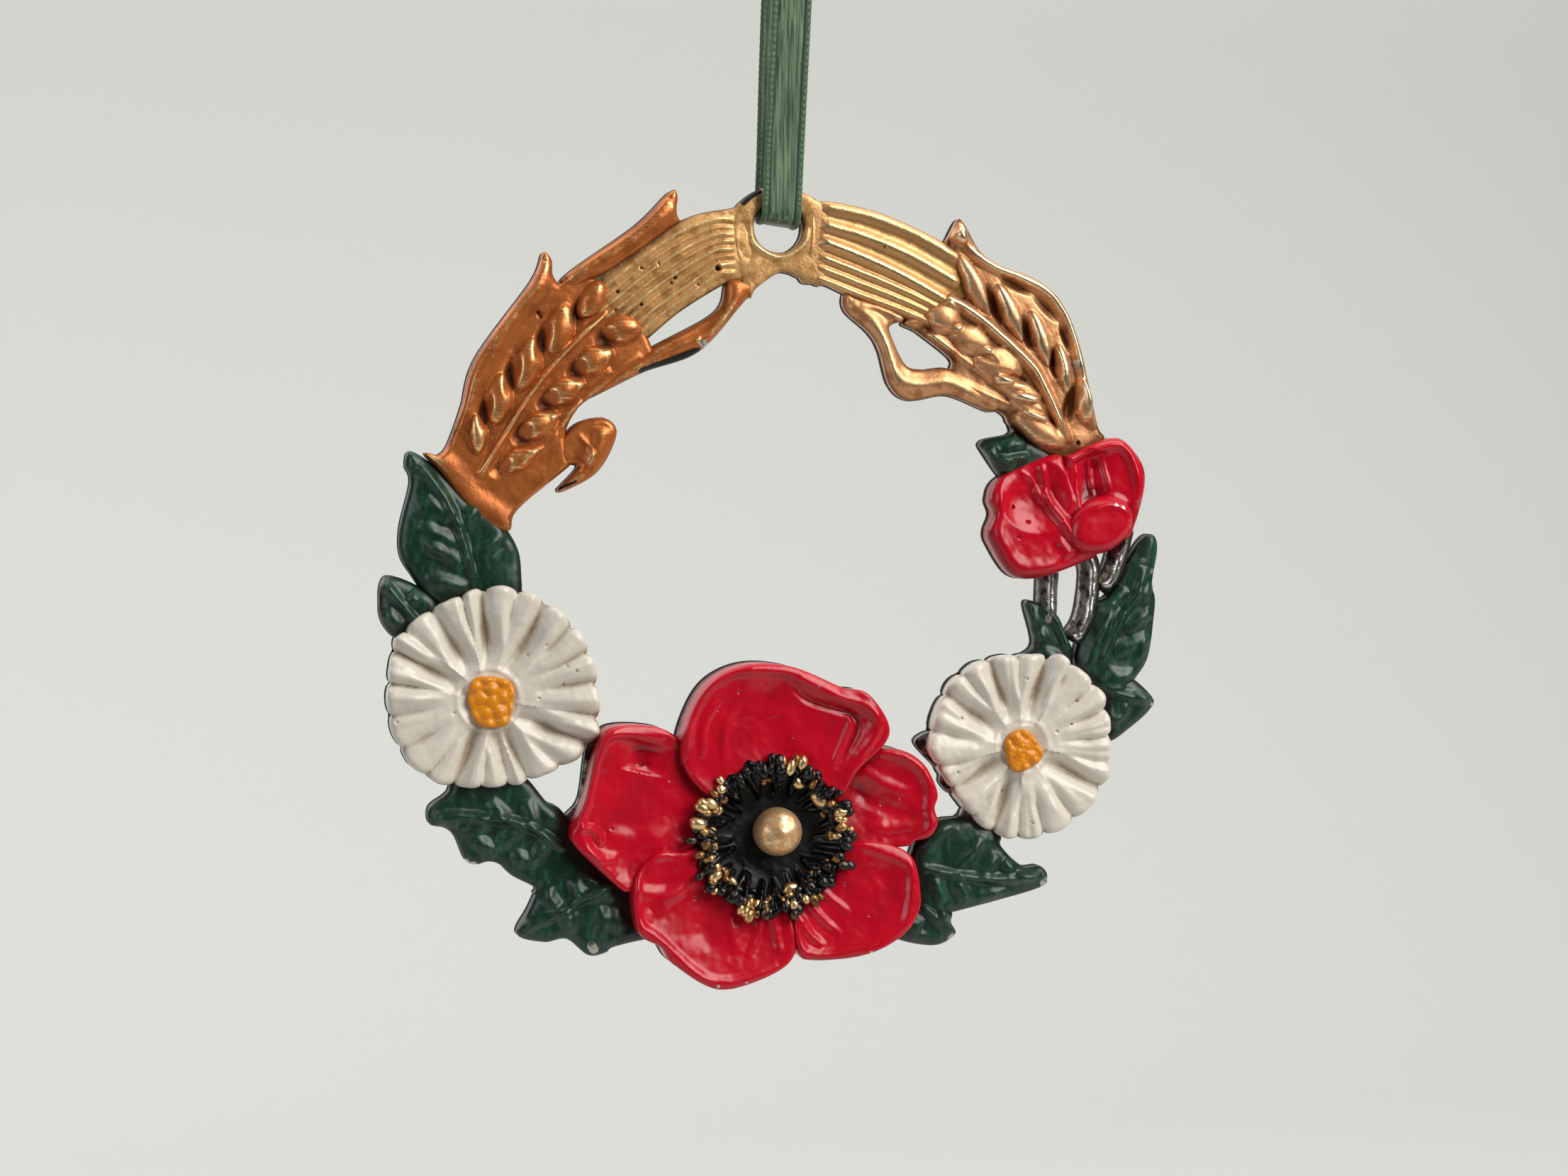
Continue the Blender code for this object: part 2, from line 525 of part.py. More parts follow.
def petal(edge, rim, layer, folds=()):
    """A petal that rises outwards to a rolled rim; layer counts how many it lies over."""
    def cup(spots):
        out = np.linalg.norm(spots - POPPY, axis=1)
        return PETAL_CUP * np.clip((out - CUP_START) / (CUP_END - CUP_START), 0, 1.2)

    carving = [(cup, []), ridge(rim, PETAL_RIM_WIDTH, PETAL_RIM, 0.12)]
    carving += [ridge(fold, FOLD_WIDTH, -FOLD_DEPTH, 0.15) for fold in folds]
    thickness = PETAL_THICKNESS + layer * PETAL_OVERLAP
    relief("red", outline(edge), thickness, FLOWER_DROP, carving, FLOWER_ROUND, 1.1 * MESH_STEP)


def large_poppy():
    petal([(-20.5, -16.9), (-14.9, -16.9), (-11.5, -18.6), (-7.9, -21.9), (-7, -26.4),
           (-8.8, -31.6), (-13.3, -33.7), (-16.4, -36.3), (-18.2, -37.4), (-20, -36.3),
           (-24.7, -31.7), (-25.4, -29.5), (-23.7, -25.6), (-22.3, -19.8)],
          [(-13.5, -18.3), (-20.2, -17.8), (-22.2, -20), (-23.6, -26), (-24.4, -28.6),
           (-22.9, -32.2), (-19.7, -35.3)], 0)
    petal([(10.6, -20.9), (15.8, -20.2), (19.5, -22), (21.5, -25.7), (21.2, -27.9),
           (21.6, -29.7), (20.7, -31.5), (18.7, -32.1), (17.6, -32.7), (10.4, -32.6),
           (8.3, -28.1), (8.7, -23.6)],
          [(14, -20.6), (17, -21.3), (19.1, -22.9), (20.3, -25.2), (20.2, -27.9), (20.4, -30.2),
           (18.7, -31.5)], 0)
    petal([(-11.5, -32.5), (-14.7, -32.7), (-17.6, -36), (-17.4, -41.3), (-16.4, -43.1),
           (-14.2, -44.4), (-12.4, -46.7), (-6.7, -49.9), (0.3, -48.2), (3.2, -45.4),
           (2.6, -40.9), (-0.5, -35.5), (-6.2, -32.1)],
          [(-12.6, -32.8), (-15.5, -33.1), (-17.1, -34.8), (-17.1, -40.7), (-14.7, -43),
           (-9.7, -47.6), (-6.6, -48.8), (-2.9, -48.4), (0.7, -46.9)], 1)
    petal([(3, -38.8), (3.3, -45.3), (5.4, -46.7), (11.8, -46.2), (16.2, -44.3), (18.4, -41.9),
           (19.2, -38.9), (17.9, -33.7), (12.8, -31.8), (8.7, -32.6), (5, -35.2)],
          [(2.8, -39.1), (3.7, -44.9), (8.5, -45.8), (15.4, -43.2), (17.4, -41.2), (17.9, -36.1),
           (16.6, -34.3), (11.7, -32.4)], 1.3)
    petal([(-11.6, -18.8), (-8.8, -12.3), (-3.9, -9.4), (2.3, -9.6), (8.9, -12.3), (12.1, -13.1),
           (14.8, -16.8), (14.5, -19.5), (11, -23), (9.3, -25.8), (6.7, -27.2), (0.1, -25.2),
           (-6.6, -27.3), (-7.1, -26.7), (-10.6, -23.1)],
          [(-11.3, -21), (-10.9, -15.7), (-8.8, -12.3), (-4.8, -10.2), (1.6, -10.5),
           (8.5, -13.3), (11.5, -14.3), (13.3, -16.1), (13.3, -18.3), (9.6, -23)], 2,
          [[(2.2, -11.2), (4.6, -13.7), (11.2, -16.6), (8.9, -22.7)]])


# The poppy's heart: a ring of stamens around a dish, with a dome in it
STAMEN_COUNT = 20
STAMEN_LIFT = 0.45
STAMEN_RIPPLE = 0.4
STAMENS_OUTER = 10.0
STAMENS_DISH = 1.6
STAMENS_DISH_RADIUS = 8.3
STIGMA_RADIUS = 3.1
STIGMA_DROP = 2.6


def poppy_heart():
    middle = np.array(POPPY)

    def lift(spots):
        q = spots - middle
        rise = np.clip(np.hypot(q[:, 0], q[:, 1]) / STAMENS_DISH_RADIUS, 0, 1) ** 2
        waves = np.cos(STAMEN_COUNT * np.arctan2(q[:, 1], q[:, 0]))
        return STAMENS_DISH * (rise - 1) + STAMEN_LIFT * waves * rise

    turn = np.arange(2 * STAMEN_COUNT) * math.pi / STAMEN_COUNT
    spokes = np.c_[np.cos(turn), np.sin(turn)]
    edge = middle + spokes * (STAMENS_OUTER + STAMEN_RIPPLE * np.cos(STAMEN_COUNT * turn))[:, None]
    guides = [middle + np.outer(shares, spoke) * STAMENS_OUTER
              for spoke, shares in zip(spokes, STAMEN_COUNT * [(0.5, 0.72, 0.88), (0.72, 0.88)])]
    relief("black", edge, STAMENS_HEIGHT, 0.7, [(lift, guides)], 0.55)
    dome = ellipse((0.7, -30.7), 2 * STIGMA_RADIUS, 2 * STIGMA_RADIUS)
    relief("gold", dome, STIGMA_HEIGHT, STIGMA_DROP, (), STIGMA_RADIUS - 0.2, 0.8 * MESH_STEP)


# Small poppy, seen from its side
def small_poppy():
    left_petal = [(30.4, 14), (28.9, 11.3), (29.4, 9.3), (28.7, 7.2), (29.1, 5.4), (31.9, 1.5),
                  (35.8, 1.2), (41.4, 3.1), (43.3, 4.3), (42.3, 8.9), (38.5, 12.5), (37.5, 15.7),
                  (36.2, 16.8)]
    folds = [ridge([(32.3, 12.3), (39.4, 5.7)], 2.2, 0.62),
             ridge([(30.8, 11.6), (30.9, 5.7), (33.2, 3), (37.5, 3)], 2.2, 0.46),
             ridge([(35.5, 15.7), (36.9, 10.2)], 1.6, 0.54)]
    relief("red", outline(left_petal), SMALL_POPPY_THICKNESS, 1.7, folds, 1.5)
    cup = [(38.8, 15.7), (40, 17.1), (44.8, 19), (47.4, 18.1), (49.6, 14.1), (48, 7.2),
           (46.3, 5.9), (43.5, 6.5), (40.3, 8.4)]
    rim = ridge([(38.3, 11.6), (38.1, 14.5), (39.4, 16.3), (45.9, 18.1), (48.4, 13.4),
                 (47.8, 10.2)], 2.3, 0.77)
    relief("red", outline(cup), SMALL_POPPY_THICKNESS, 0.75, [rim], 0.6)
    knob = ellipse((43.5, 7.9), 8.7, 6.6, 28)
    relief("red", knob, SMALL_POPPY_KNOB_HEIGHT, 1.7, (), 1.9, FINE_STEP)


# Solids
def finish(name, colour, metallic, roughness):
    material = bpy.data.materials.new(name)
    material.use_nodes = True
    shader = material.node_tree.nodes["Principled BSDF"]
    shader.inputs["Base Color"].default_value = (*colour, 1)
    shader.inputs["Metallic"].default_value = metallic
    shader.inputs["Roughness"].default_value = roughness
    return material


def closed_mesh(name, verts, faces, material):
    """A mesh with its faces pointing out, from points in mm."""
    mesh = bpy.data.meshes.new(name)
    mesh.from_pydata([tuple(c * MM for c in v) for v in verts], [], faces)
    mesh.materials.append(material)
    made = bmesh.new()
    made.from_mesh(mesh)
    bmesh.ops.recalc_face_normals(made, faces=made.faces)
    made.to_mesh(mesh)
    made.free()
    return mesh


def piece_mesh(name, spots, height, rim_count, triangles, overshoot, material):
    """A closed piece whose back lies overshoot behind the wreath's back."""
    front = [(CENTRE_X + u * UNIT, BACK_Y - h * UNIT, CENTRE_Z + v * UNIT)
             for (u, v), h in zip(spots, height)]
    back = [(x, BACK_Y + overshoot, z) for x, _, z in front[:rim_count]]
    n = len(front)
    faces = [tuple(t) for t in triangles]
    faces += [tuple(n + i for i in reversed(t)) for t in triangulated(spots[:rim_count], rim_count)[1]]
    for i in range(rim_count):
        j = (i + 1) % rim_count
        faces += [(i, j, n + j), (i, n + j, n + i)]
    return closed_mesh(name, front + back, faces, material)


def placed(mesh, collection):
    made = bpy.data.objects.new(mesh.name, mesh)
    collection.objects.link(made)
    return made


def boolean(target, operation, operand):
    """Joins a collection to the target, or cuts an object from it, and keeps the faces' materials."""
    modifier = target.modifiers.new(operation, "BOOLEAN")
    modifier.operation = operation
    modifier.solver = "EXACT"
    modifier.material_mode = "TRANSFER"
    if operation == "UNION":
        modifier.operand_type = "COLLECTION"
        modifier.collection = operand
    else:
        modifier.object = operand


def close_slits(mesh):
    """Closes the hairline slits where three points of one straight edge lie in line."""
    made = bmesh.new()
    made.from_mesh(mesh)
    bmesh.ops.holes_fill(made, edges=[edge for edge in made.edges if edge.is_boundary], sides=4)
    made.to_mesh(mesh)
    made.free()


def cutter(name, mesh):
    made = placed(mesh, bpy.context.scene.collection)
    made.name = name
    made.hide_render = True
    made.display_type = "WIRE"
    return made


def back_cutter():
    """A slab that leaves the back flat."""
    deep = 2 * NECK_THICKNESS
    reach = 0.6 * WREATH_HEIGHT
    slab = bmesh.new()
    bmesh.ops.create_cube(slab, size=1)
    bmesh.ops.scale(slab, vec=(2 * reach * MM, deep * MM, 2 * reach * MM), verts=slab.verts)
    middle = (CENTRE_X * MM, (BACK_Y + deep / 2) * MM, CENTRE_Z * MM)
    bmesh.ops.translate(slab, vec=middle, verts=slab.verts)
    mesh = bpy.data.meshes.new("back cutter")
    slab.to_mesh(mesh)
    slab.free()
    return cutter("back_cutter", mesh)


def hole_cutter():
    """A round bar through the neck for the ribbon's hole."""
    long = 4 * NECK_THICKNESS
    side_count = 24
    bar_mesh = bmesh.new()
    bmesh.ops.create_cone(bar_mesh, cap_ends=True, segments=side_count, radius1=HOLE_RADIUS * MM,
                          radius2=HOLE_RADIUS * MM, depth=long * MM)
    for vert in bar_mesh.verts:
        x, y, z = vert.co
        vert.co = ((CENTRE_X + HOLE[0] * UNIT) * MM + x, -z, (CENTRE_Z + HOLE[1] * UNIT) * MM + y)
    mesh = bpy.data.meshes.new("hole cutter")
    bar_mesh.to_mesh(mesh)
    bar_mesh.free()
    return cutter("hole_cutter", mesh)


def wreath():
    """Every piece of the casting joined into one solid, cut flat behind and holed at the neck."""
    pewter = finish("blackened pewter", (0.12, 0.11, 0.10), 0.9, 0.45)
    finishes = {
        "metal": pewter,
        "straw": finish("straw gold paint", (0.42, 0.28, 0.10), 0.6, 0.4),
        "copper": finish("copper bronze paint", (0.36, 0.13, 0.04), 0.7, 0.35),
        "green": finish("dark green enamel", (0.01, 0.04, 0.02), 0.0, 0.2),
        "white": finish("off white enamel", (0.62, 0.58, 0.54), 0.0, 0.35),
        "yellow": finish("yellow enamel", (0.75, 0.33, 0.01), 0.0, 0.3),
        "red": finish("red enamel", (0.45, 0.0, 0.01), 0.0, 0.15),
        "black": finish("black enamel", (0.01, 0.01, 0.01), 0.0, 0.2),
        "gold": finish("gold enamel", (0.55, 0.33, 0.10), 0.5, 0.3),
    }
    neck()
    left_straws()
    right_straws()
    left_ear()
    right_ear()
    left_leaves()
    right_leaves()
    stems()
    webs()
    daisies()
    large_poppy()
    poppy_heart()
    small_poppy()

    # each back lies a hair deeper than the last, so that no two faces share a plane
    overshoot, stagger = 0.3, 0.013
    helpers = bpy.data.collections.new("pieces")
    meshes = [piece_mesh(f"piece {i}", *shape, overshoot + stagger * i, finishes[colour])
              for i, (colour, *shape) in enumerate(PIECES)]
    for mesh in meshes[1:]:
        placed(mesh, helpers)
    casting = placed(meshes[0], bpy.context.scene.collection)
    boolean(casting, "UNION", helpers)
    boolean(casting, "DIFFERENCE", back_cutter())
    boolean(casting, "DIFFERENCE", hole_cutter())
    made = bpy.data.meshes.new_from_object(casting.evaluated_get(bpy.context.evaluated_depsgraph_get()))
    for helper in list(helpers.objects) + [casting]:
        bpy.data.objects.remove(helper)
    bpy.data.collections.remove(helpers)
    close_slits(made)
    made.name = "wreath"
    made.shade_smooth()
    made.set_sharp_from_angle(angle=math.radians(35))
    placed(made, bpy.context.scene.collection)


# Ribbon
def ribbon_route():
    """The loop's middle line seen from the side, as (back, up) points once around, in mm."""
    half = RIBBON_WIDTH / 2
    room = math.sqrt((HOLE_RADIUS - RIBBON_CLEARANCE) ** 2 - half**2)
    lift = room - RIBBON_THICKNESS / 2 - half * math.sin(math.radians(RIBBON_TILT))
    bottom = CENTRE_Z + HOLE[1] * UNIT + lift
    top = -RIBBON_THICKNESS / 2
    long = top - bottom
    off = RIBBON_CLEARANCE + RIBBON_THICKNESS / 2
    front = BACK_Y - STRAW_THICKNESS - RIGHT_STRAW_RIDGE * UNIT - off
    back = BACK_Y + off
    spread = LOOP_SPREAD / 2
    bend = math.cos(math.radians(45))
    return [
        (0.0, bottom),
        (0.6 * front, bottom + 0.05 * spread),
        (0.9 * front, bottom + 0.25 * spread),
        (front, bottom + 0.7 * spread),
        (front, bottom + 0.25 * long),
        (-0.92 * spread, bottom + 0.6 * long),
        (-spread, top - spread),
        (-bend * spread, top - (1 - bend) * spread),
        (0.0, top),
        (bend * spread, top - (1 - bend) * spread),
        (spread, top - spread),
        (0.92 * spread, bottom + 0.6 * long),
        (back, bottom + 0.25 * long),
        (back, bottom + 0.7 * spread),
        (0.9 * back, bottom + 0.25 * spread),
        (0.6 * back, bottom + 0.05 * spread),
    ]


def ribbon():
    """A flat strap in a closed loop: up in front of the neck, over the top and down behind it."""
    line = curve(ribbon_route(), RIBBON_STEP, closed=True)
    along = np.roll(line, -1, axis=0) - np.roll(line, 1, axis=0)
    outward = np.c_[-along[:, 1], along[:, 0]] / np.linalg.norm(along, axis=1)[:, None]
    low, high = line[:, 1].min(), line[:, 1].max()
    verts = []
    for (y, z), (ny, nz) in zip(line, outward):
        share = (z - low) / (high - low)
        tilt = math.radians(RIBBON_TILT) * (1 - share) ** 2
        for side, face in ((-1, -1), (1, -1), (1, 1), (-1, 1)):
            across, out = side * RIBBON_WIDTH / 2, face * RIBBON_THICKNESS / 2
            verts.append((-LOOP_LEAN * (1 - share) + across * math.cos(tilt), y + ny * out,
                          z + nz * out - across * math.sin(tilt)))
    n = len(line)
    faces = [(4 * i + k, 4 * i + (k + 1) % 4, 4 * ((i + 1) % n) + (k + 1) % 4, 4 * ((i + 1) % n) + k)
             for i in range(n) for k in range(4)]
    satin = finish("green satin", (0.07, 0.17, 0.09), 0.0, 0.45)
    placed(closed_mesh("ribbon", verts, faces, satin), bpy.context.scene.collection)


def main():
    for old in list(bpy.data.objects):
        bpy.data.objects.remove(old)
    wreath()
    ribbon()


main()
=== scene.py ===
# %% [markdown]
# A painted pewter wreath hangs on a narrow satin ribbon. The wreath is one flat-backed casting in low
# relief, and a painter's brush has turned its parts into wheat, leaves, daisies and poppies.
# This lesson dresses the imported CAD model. The frame gives every size and place in metres, so a new
# piece goes where its solid is, and nothing is fitted by eye.

# %% The frame
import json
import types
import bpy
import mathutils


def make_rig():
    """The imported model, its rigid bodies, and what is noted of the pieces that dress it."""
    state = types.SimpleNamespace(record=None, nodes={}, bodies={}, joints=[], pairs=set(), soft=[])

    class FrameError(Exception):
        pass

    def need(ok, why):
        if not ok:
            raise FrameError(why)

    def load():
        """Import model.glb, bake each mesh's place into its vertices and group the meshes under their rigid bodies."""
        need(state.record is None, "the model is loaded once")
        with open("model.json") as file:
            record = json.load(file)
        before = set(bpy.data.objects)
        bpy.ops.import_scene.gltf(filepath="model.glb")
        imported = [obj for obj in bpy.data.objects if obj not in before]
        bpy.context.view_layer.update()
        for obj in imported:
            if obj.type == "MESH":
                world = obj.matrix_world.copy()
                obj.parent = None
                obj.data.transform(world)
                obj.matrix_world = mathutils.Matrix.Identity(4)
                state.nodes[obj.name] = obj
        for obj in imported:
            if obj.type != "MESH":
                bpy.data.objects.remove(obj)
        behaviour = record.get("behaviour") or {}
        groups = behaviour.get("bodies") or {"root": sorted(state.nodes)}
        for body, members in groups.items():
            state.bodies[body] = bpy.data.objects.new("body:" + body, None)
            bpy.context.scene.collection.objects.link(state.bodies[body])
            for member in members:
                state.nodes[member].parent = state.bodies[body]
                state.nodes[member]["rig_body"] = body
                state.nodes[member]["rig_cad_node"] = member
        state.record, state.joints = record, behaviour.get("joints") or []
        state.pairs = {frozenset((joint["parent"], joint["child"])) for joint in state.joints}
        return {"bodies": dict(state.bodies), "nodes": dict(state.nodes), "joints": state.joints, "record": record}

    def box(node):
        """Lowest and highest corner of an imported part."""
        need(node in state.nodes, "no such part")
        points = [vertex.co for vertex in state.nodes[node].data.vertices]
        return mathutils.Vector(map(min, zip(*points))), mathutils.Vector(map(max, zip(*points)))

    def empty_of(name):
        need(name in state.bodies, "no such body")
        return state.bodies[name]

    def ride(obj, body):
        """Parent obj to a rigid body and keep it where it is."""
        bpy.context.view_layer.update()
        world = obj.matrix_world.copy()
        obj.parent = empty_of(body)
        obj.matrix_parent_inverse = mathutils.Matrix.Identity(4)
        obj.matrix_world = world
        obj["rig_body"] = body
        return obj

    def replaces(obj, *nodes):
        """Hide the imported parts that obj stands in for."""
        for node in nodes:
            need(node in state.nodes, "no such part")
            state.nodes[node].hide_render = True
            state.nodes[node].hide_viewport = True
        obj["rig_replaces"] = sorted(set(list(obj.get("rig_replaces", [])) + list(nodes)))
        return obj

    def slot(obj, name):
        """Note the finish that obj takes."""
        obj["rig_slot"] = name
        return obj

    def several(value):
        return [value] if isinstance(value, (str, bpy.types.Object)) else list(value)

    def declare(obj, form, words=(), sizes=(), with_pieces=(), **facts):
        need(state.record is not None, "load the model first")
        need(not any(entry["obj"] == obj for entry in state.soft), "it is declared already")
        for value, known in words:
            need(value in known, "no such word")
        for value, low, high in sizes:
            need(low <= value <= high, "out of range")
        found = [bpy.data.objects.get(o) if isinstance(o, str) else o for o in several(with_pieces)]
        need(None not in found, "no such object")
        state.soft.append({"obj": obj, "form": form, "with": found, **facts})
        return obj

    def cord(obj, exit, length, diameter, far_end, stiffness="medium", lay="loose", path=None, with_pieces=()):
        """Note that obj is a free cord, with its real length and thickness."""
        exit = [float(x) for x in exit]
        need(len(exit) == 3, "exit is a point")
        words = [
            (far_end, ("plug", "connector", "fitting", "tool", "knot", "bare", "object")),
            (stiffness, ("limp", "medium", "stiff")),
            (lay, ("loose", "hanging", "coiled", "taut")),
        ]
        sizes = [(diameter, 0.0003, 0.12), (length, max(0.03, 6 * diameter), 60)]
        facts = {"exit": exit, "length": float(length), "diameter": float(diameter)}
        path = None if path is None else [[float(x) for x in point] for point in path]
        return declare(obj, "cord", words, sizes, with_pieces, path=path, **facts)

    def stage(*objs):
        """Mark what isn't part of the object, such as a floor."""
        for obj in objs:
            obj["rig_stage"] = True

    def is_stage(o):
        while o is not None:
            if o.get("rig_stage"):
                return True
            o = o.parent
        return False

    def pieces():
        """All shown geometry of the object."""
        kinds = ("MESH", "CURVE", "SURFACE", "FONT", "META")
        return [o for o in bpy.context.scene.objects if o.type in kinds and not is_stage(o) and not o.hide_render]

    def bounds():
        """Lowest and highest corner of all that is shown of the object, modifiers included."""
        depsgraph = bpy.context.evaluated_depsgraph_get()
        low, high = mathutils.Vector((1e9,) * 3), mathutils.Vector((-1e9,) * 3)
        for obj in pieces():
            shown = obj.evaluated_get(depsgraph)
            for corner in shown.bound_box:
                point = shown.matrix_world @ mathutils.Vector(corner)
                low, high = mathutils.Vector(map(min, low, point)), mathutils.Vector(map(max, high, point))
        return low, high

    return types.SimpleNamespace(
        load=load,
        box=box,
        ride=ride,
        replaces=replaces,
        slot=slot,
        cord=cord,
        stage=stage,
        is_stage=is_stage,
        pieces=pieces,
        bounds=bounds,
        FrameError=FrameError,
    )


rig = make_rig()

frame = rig.load()

import json
import math

import bmesh
import bpy
import numpy as np
from mathutils import Matrix, Vector
from mathutils.geometry import delaunay_2d_cdt

CAD_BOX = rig.bounds()
MM = 0.001
print("CAD box in mm:", [[round(c / MM, 2) for c in corner] for corner in CAD_BOX])

# %% [markdown]
# The casting is drawn in hundredths of its own height: right and up from the middle of the ring.
# The drawing's highest, lowest and leftmost places are known, so the solid's box gives the length of
# one hundredth and where the middle lies. The back is flat and is the box's deepest face.

# %% From the drawing to the frame
DRAWN_TOP, DRAWN_BOTTOM, DRAWN_LEFT = 50.5, -49.9, -48.56
wreath_low, wreath_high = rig.box("wreath")
UNIT = (wreath_high[2] - wreath_low[2]) / (DRAWN_TOP - DRAWN_BOTTOM)
MIDDLE = Vector((wreath_low[0] - DRAWN_LEFT * UNIT, 0, wreath_high[2] - DRAWN_TOP * UNIT))
BACK = wreath_high[1]
HOLE = (1.5, 45.3)
print(f"one hundredth is {UNIT / MM:.3f} mm, the back lies at y = {BACK / MM:.2f} mm")

# %% [markdown]
# The camera stands where the photographer's did: close, a little to the left and a little above.
# A long lens at 255 mm gives the same small amount of perspective. Its focal length follows from how
# many millimetres of the wreath one photo pixel shows.

# %% Camera
PHOTO_WIDE, PHOTO_HIGH = 2212, 1659
WREATH_PIXEL = (1084, 831)
PIXEL = 0.0575 * MM
SENSOR = 36
CAMERA_FAR, CAMERA_TURN, CAMERA_RISE = 255 * MM, math.radians(-13), math.radians(2)
FACE_DEPTH = 2.2 * MM

level = math.cos(CAMERA_RISE)
towards = Vector((level * math.sin(CAMERA_TURN), -level * math.cos(CAMERA_TURN), math.sin(CAMERA_RISE)))
right = Vector((math.cos(CAMERA_TURN), math.sin(CAMERA_TURN), 0))
up = right.cross(-towards)
eye = Vector((MIDDLE.x, BACK - FACE_DEPTH, MIDDLE.z)) + towards * CAMERA_FAR
eye -= right * (WREATH_PIXEL[0] - PHOTO_WIDE / 2) * PIXEL + up * (PHOTO_HIGH / 2 - WREATH_PIXEL[1]) * PIXEL
lens = bpy.data.cameras.new("camera")
lens.sensor_width = SENSOR
lens.lens = SENSOR * CAMERA_FAR / PIXEL / PHOTO_WIDE
lens.clip_start = 5 * MM
camera = bpy.data.objects.new("camera", lens)
camera.matrix_world = Matrix.Translation(eye) @ Matrix((right, up, towards)).transposed().to_4x4()
bpy.context.scene.collection.objects.link(camera)
bpy.context.scene.camera = camera
print(f"camera lens {lens.lens:.1f} mm at {CAMERA_FAR / MM:.0f} mm")

# %% [markdown]
# Lines on the wreath are drawn with a few points and made smooth by a Catmull-Rom curve, which passes
# through every point. The word CORNER after a point marks a corner, where one smooth stretch ends and
# the next begins. The same curve later gives the ribbon's route.

# %% Smooth lines
CORNER = 1


def points(drawn):
    """Drawn points as an array of right, up and 1 for a corner."""
    return np.array([(p[0], p[1], p[2] if len(p) > 2 else 0) for p in drawn], float)


def curve(drawn, step, closed=False):
    """A smooth line through points, sampled about every step."""
    p = points(drawn)[:, :2]
    n = len(p)
    line = []
    for i in range(n if closed else n - 1):
        a, b = p[i], p[(i + 1) % n]
        before = p[i - 1] if closed or i > 0 else 2 * a - b
        after = p[(i + 2) % n] if closed or i < n - 2 else 2 * b - a
        for t in np.arange(0, 1, 1 / max(1, round(np.linalg.norm(b - a) / step))):
            line.append(0.5 * (2 * a + (b - before) * t + (2 * before - 5 * a + 4 * b - after) * t**2
                               + (3 * a - before - 3 * b + after) * t**3))
    if not closed:
        line.append(p[-1])
    return np.array(line)


def outline(drawn, step=0.22):
    """A closed line, smooth but for its corners."""
    p = points(drawn)
    corners = [i for i in range(len(p)) if p[i, 2]]
    if not corners:
        return curve(p, step, closed=True)
    p = np.roll(p, -corners[0], axis=0)
    corners = [i for i in range(len(p)) if p[i, 2]] + [len(p)]
    p = np.r_[p, p[:1]]
    return np.concatenate([curve(p[a:b + 1], step)[:-1] for a, b in zip(corners, corners[1:])])


def sideways(line):
    """Unit vectors to the left of a line's direction."""
    along = np.gradient(line, axis=0)
    return np.c_[-along[:, 1], along[:, 0]] / np.linalg.norm(along, axis=1)[:, None]

# %% [markdown]
# The ribbon is satin, 3.3 mm wide. It goes through the hole, up in front and behind, and over whatever
# holds it at the top of its loop, out of the picture. It is held taut by the wreath's weight, so its
# route is two straight runs joined by two bends. The route is worked out as the solid's was, from the
# hole, the ribbon's own thickness and the gap that keeps it clear of the metal.

# %% Ribbon route
RIBBON_WIDTH, RIBBON_THICKNESS, RIBBON_GAP = 3.3 * MM, 0.25 * MM, 0.3 * MM
RIBBON_TILT = math.radians(8)
LOOP_LEAN, LOOP_SPREAD, LOOP_DROP = 1.0 * MM, 4.2 * MM, 22.5 * MM
HOLE_RADIUS = RIBBON_WIDTH / 2 + 0.4 * MM
STRAW_FRONT = BACK - 1.8 * MM - 0.65 * UNIT
RIBBON_STEP = 0.16 * MM


def ribbon_route():
    """The loop's middle line seen from the side, as (back, up) points once around, in metres."""
    half = RIBBON_WIDTH / 2
    room = math.sqrt((HOLE_RADIUS - RIBBON_GAP) ** 2 - half**2)
    bottom = -LOOP_DROP + room - RIBBON_THICKNESS / 2 - half * math.sin(RIBBON_TILT)
    top = -RIBBON_THICKNESS / 2
    long, spread = top - bottom, LOOP_SPREAD / 2
    off = RIBBON_GAP + RIBBON_THICKNESS / 2
    front, back = STRAW_FRONT - off, BACK + off
    bend = math.cos(math.radians(45))
    return [
        (0.0, bottom),
        (0.6 * front, bottom + 0.05 * spread),
        (0.9 * front, bottom + 0.25 * spread),
        (front, bottom + 0.7 * spread),
        (front, bottom + 0.25 * long),
        (-0.92 * spread, bottom + 0.6 * long),
        (-spread, top - spread),
        (-bend * spread, top - (1 - bend) * spread),
        (0.0, top),
        (bend * spread, top - (1 - bend) * spread),
        (spread, top - spread),
        (0.92 * spread, bottom + 0.6 * long),
        (back, bottom + 0.25 * long),
        (back, bottom + 0.7 * spread),
        (0.9 * back, bottom + 0.25 * spread),
        (0.6 * back, bottom + 0.05 * spread),
    ]


route = curve(ribbon_route(), RIBBON_STEP, closed=True)
ribbon_length = np.linalg.norm(np.roll(route, -1, axis=0) - route, axis=1).sum()
print(f"the ribbon's loop is {ribbon_length / MM:.1f} mm long")

# %% [markdown]
# A satin ribbon has a smooth face of long threads and a corded edge on each side, where the weft turns
# back. The strap is swept along the route, with more points across than a plain one needs, so that the
# two cords, the groove beside each and the little loops along them are real geometry.

# %% Ribbon mesh
RIBBON_COLUMNS = 72
CORD_WIDTH, CORD_LIFT = 0.55 * MM, 0.075 * MM
LOOP_PITCH, LOOP_SWELL = 0.52 * MM, 0.035 * MM
GROOVE_WIDTH, GROOVE_DEPTH = 0.12 * MM, 0.05 * MM
EDGE_ROUND = 0.1 * MM
CRIMP_WIDE, CRIMP_LONG, CRIMP_LIFT = 0.21 * MM, 0.9 * MM, 0.006 * MM


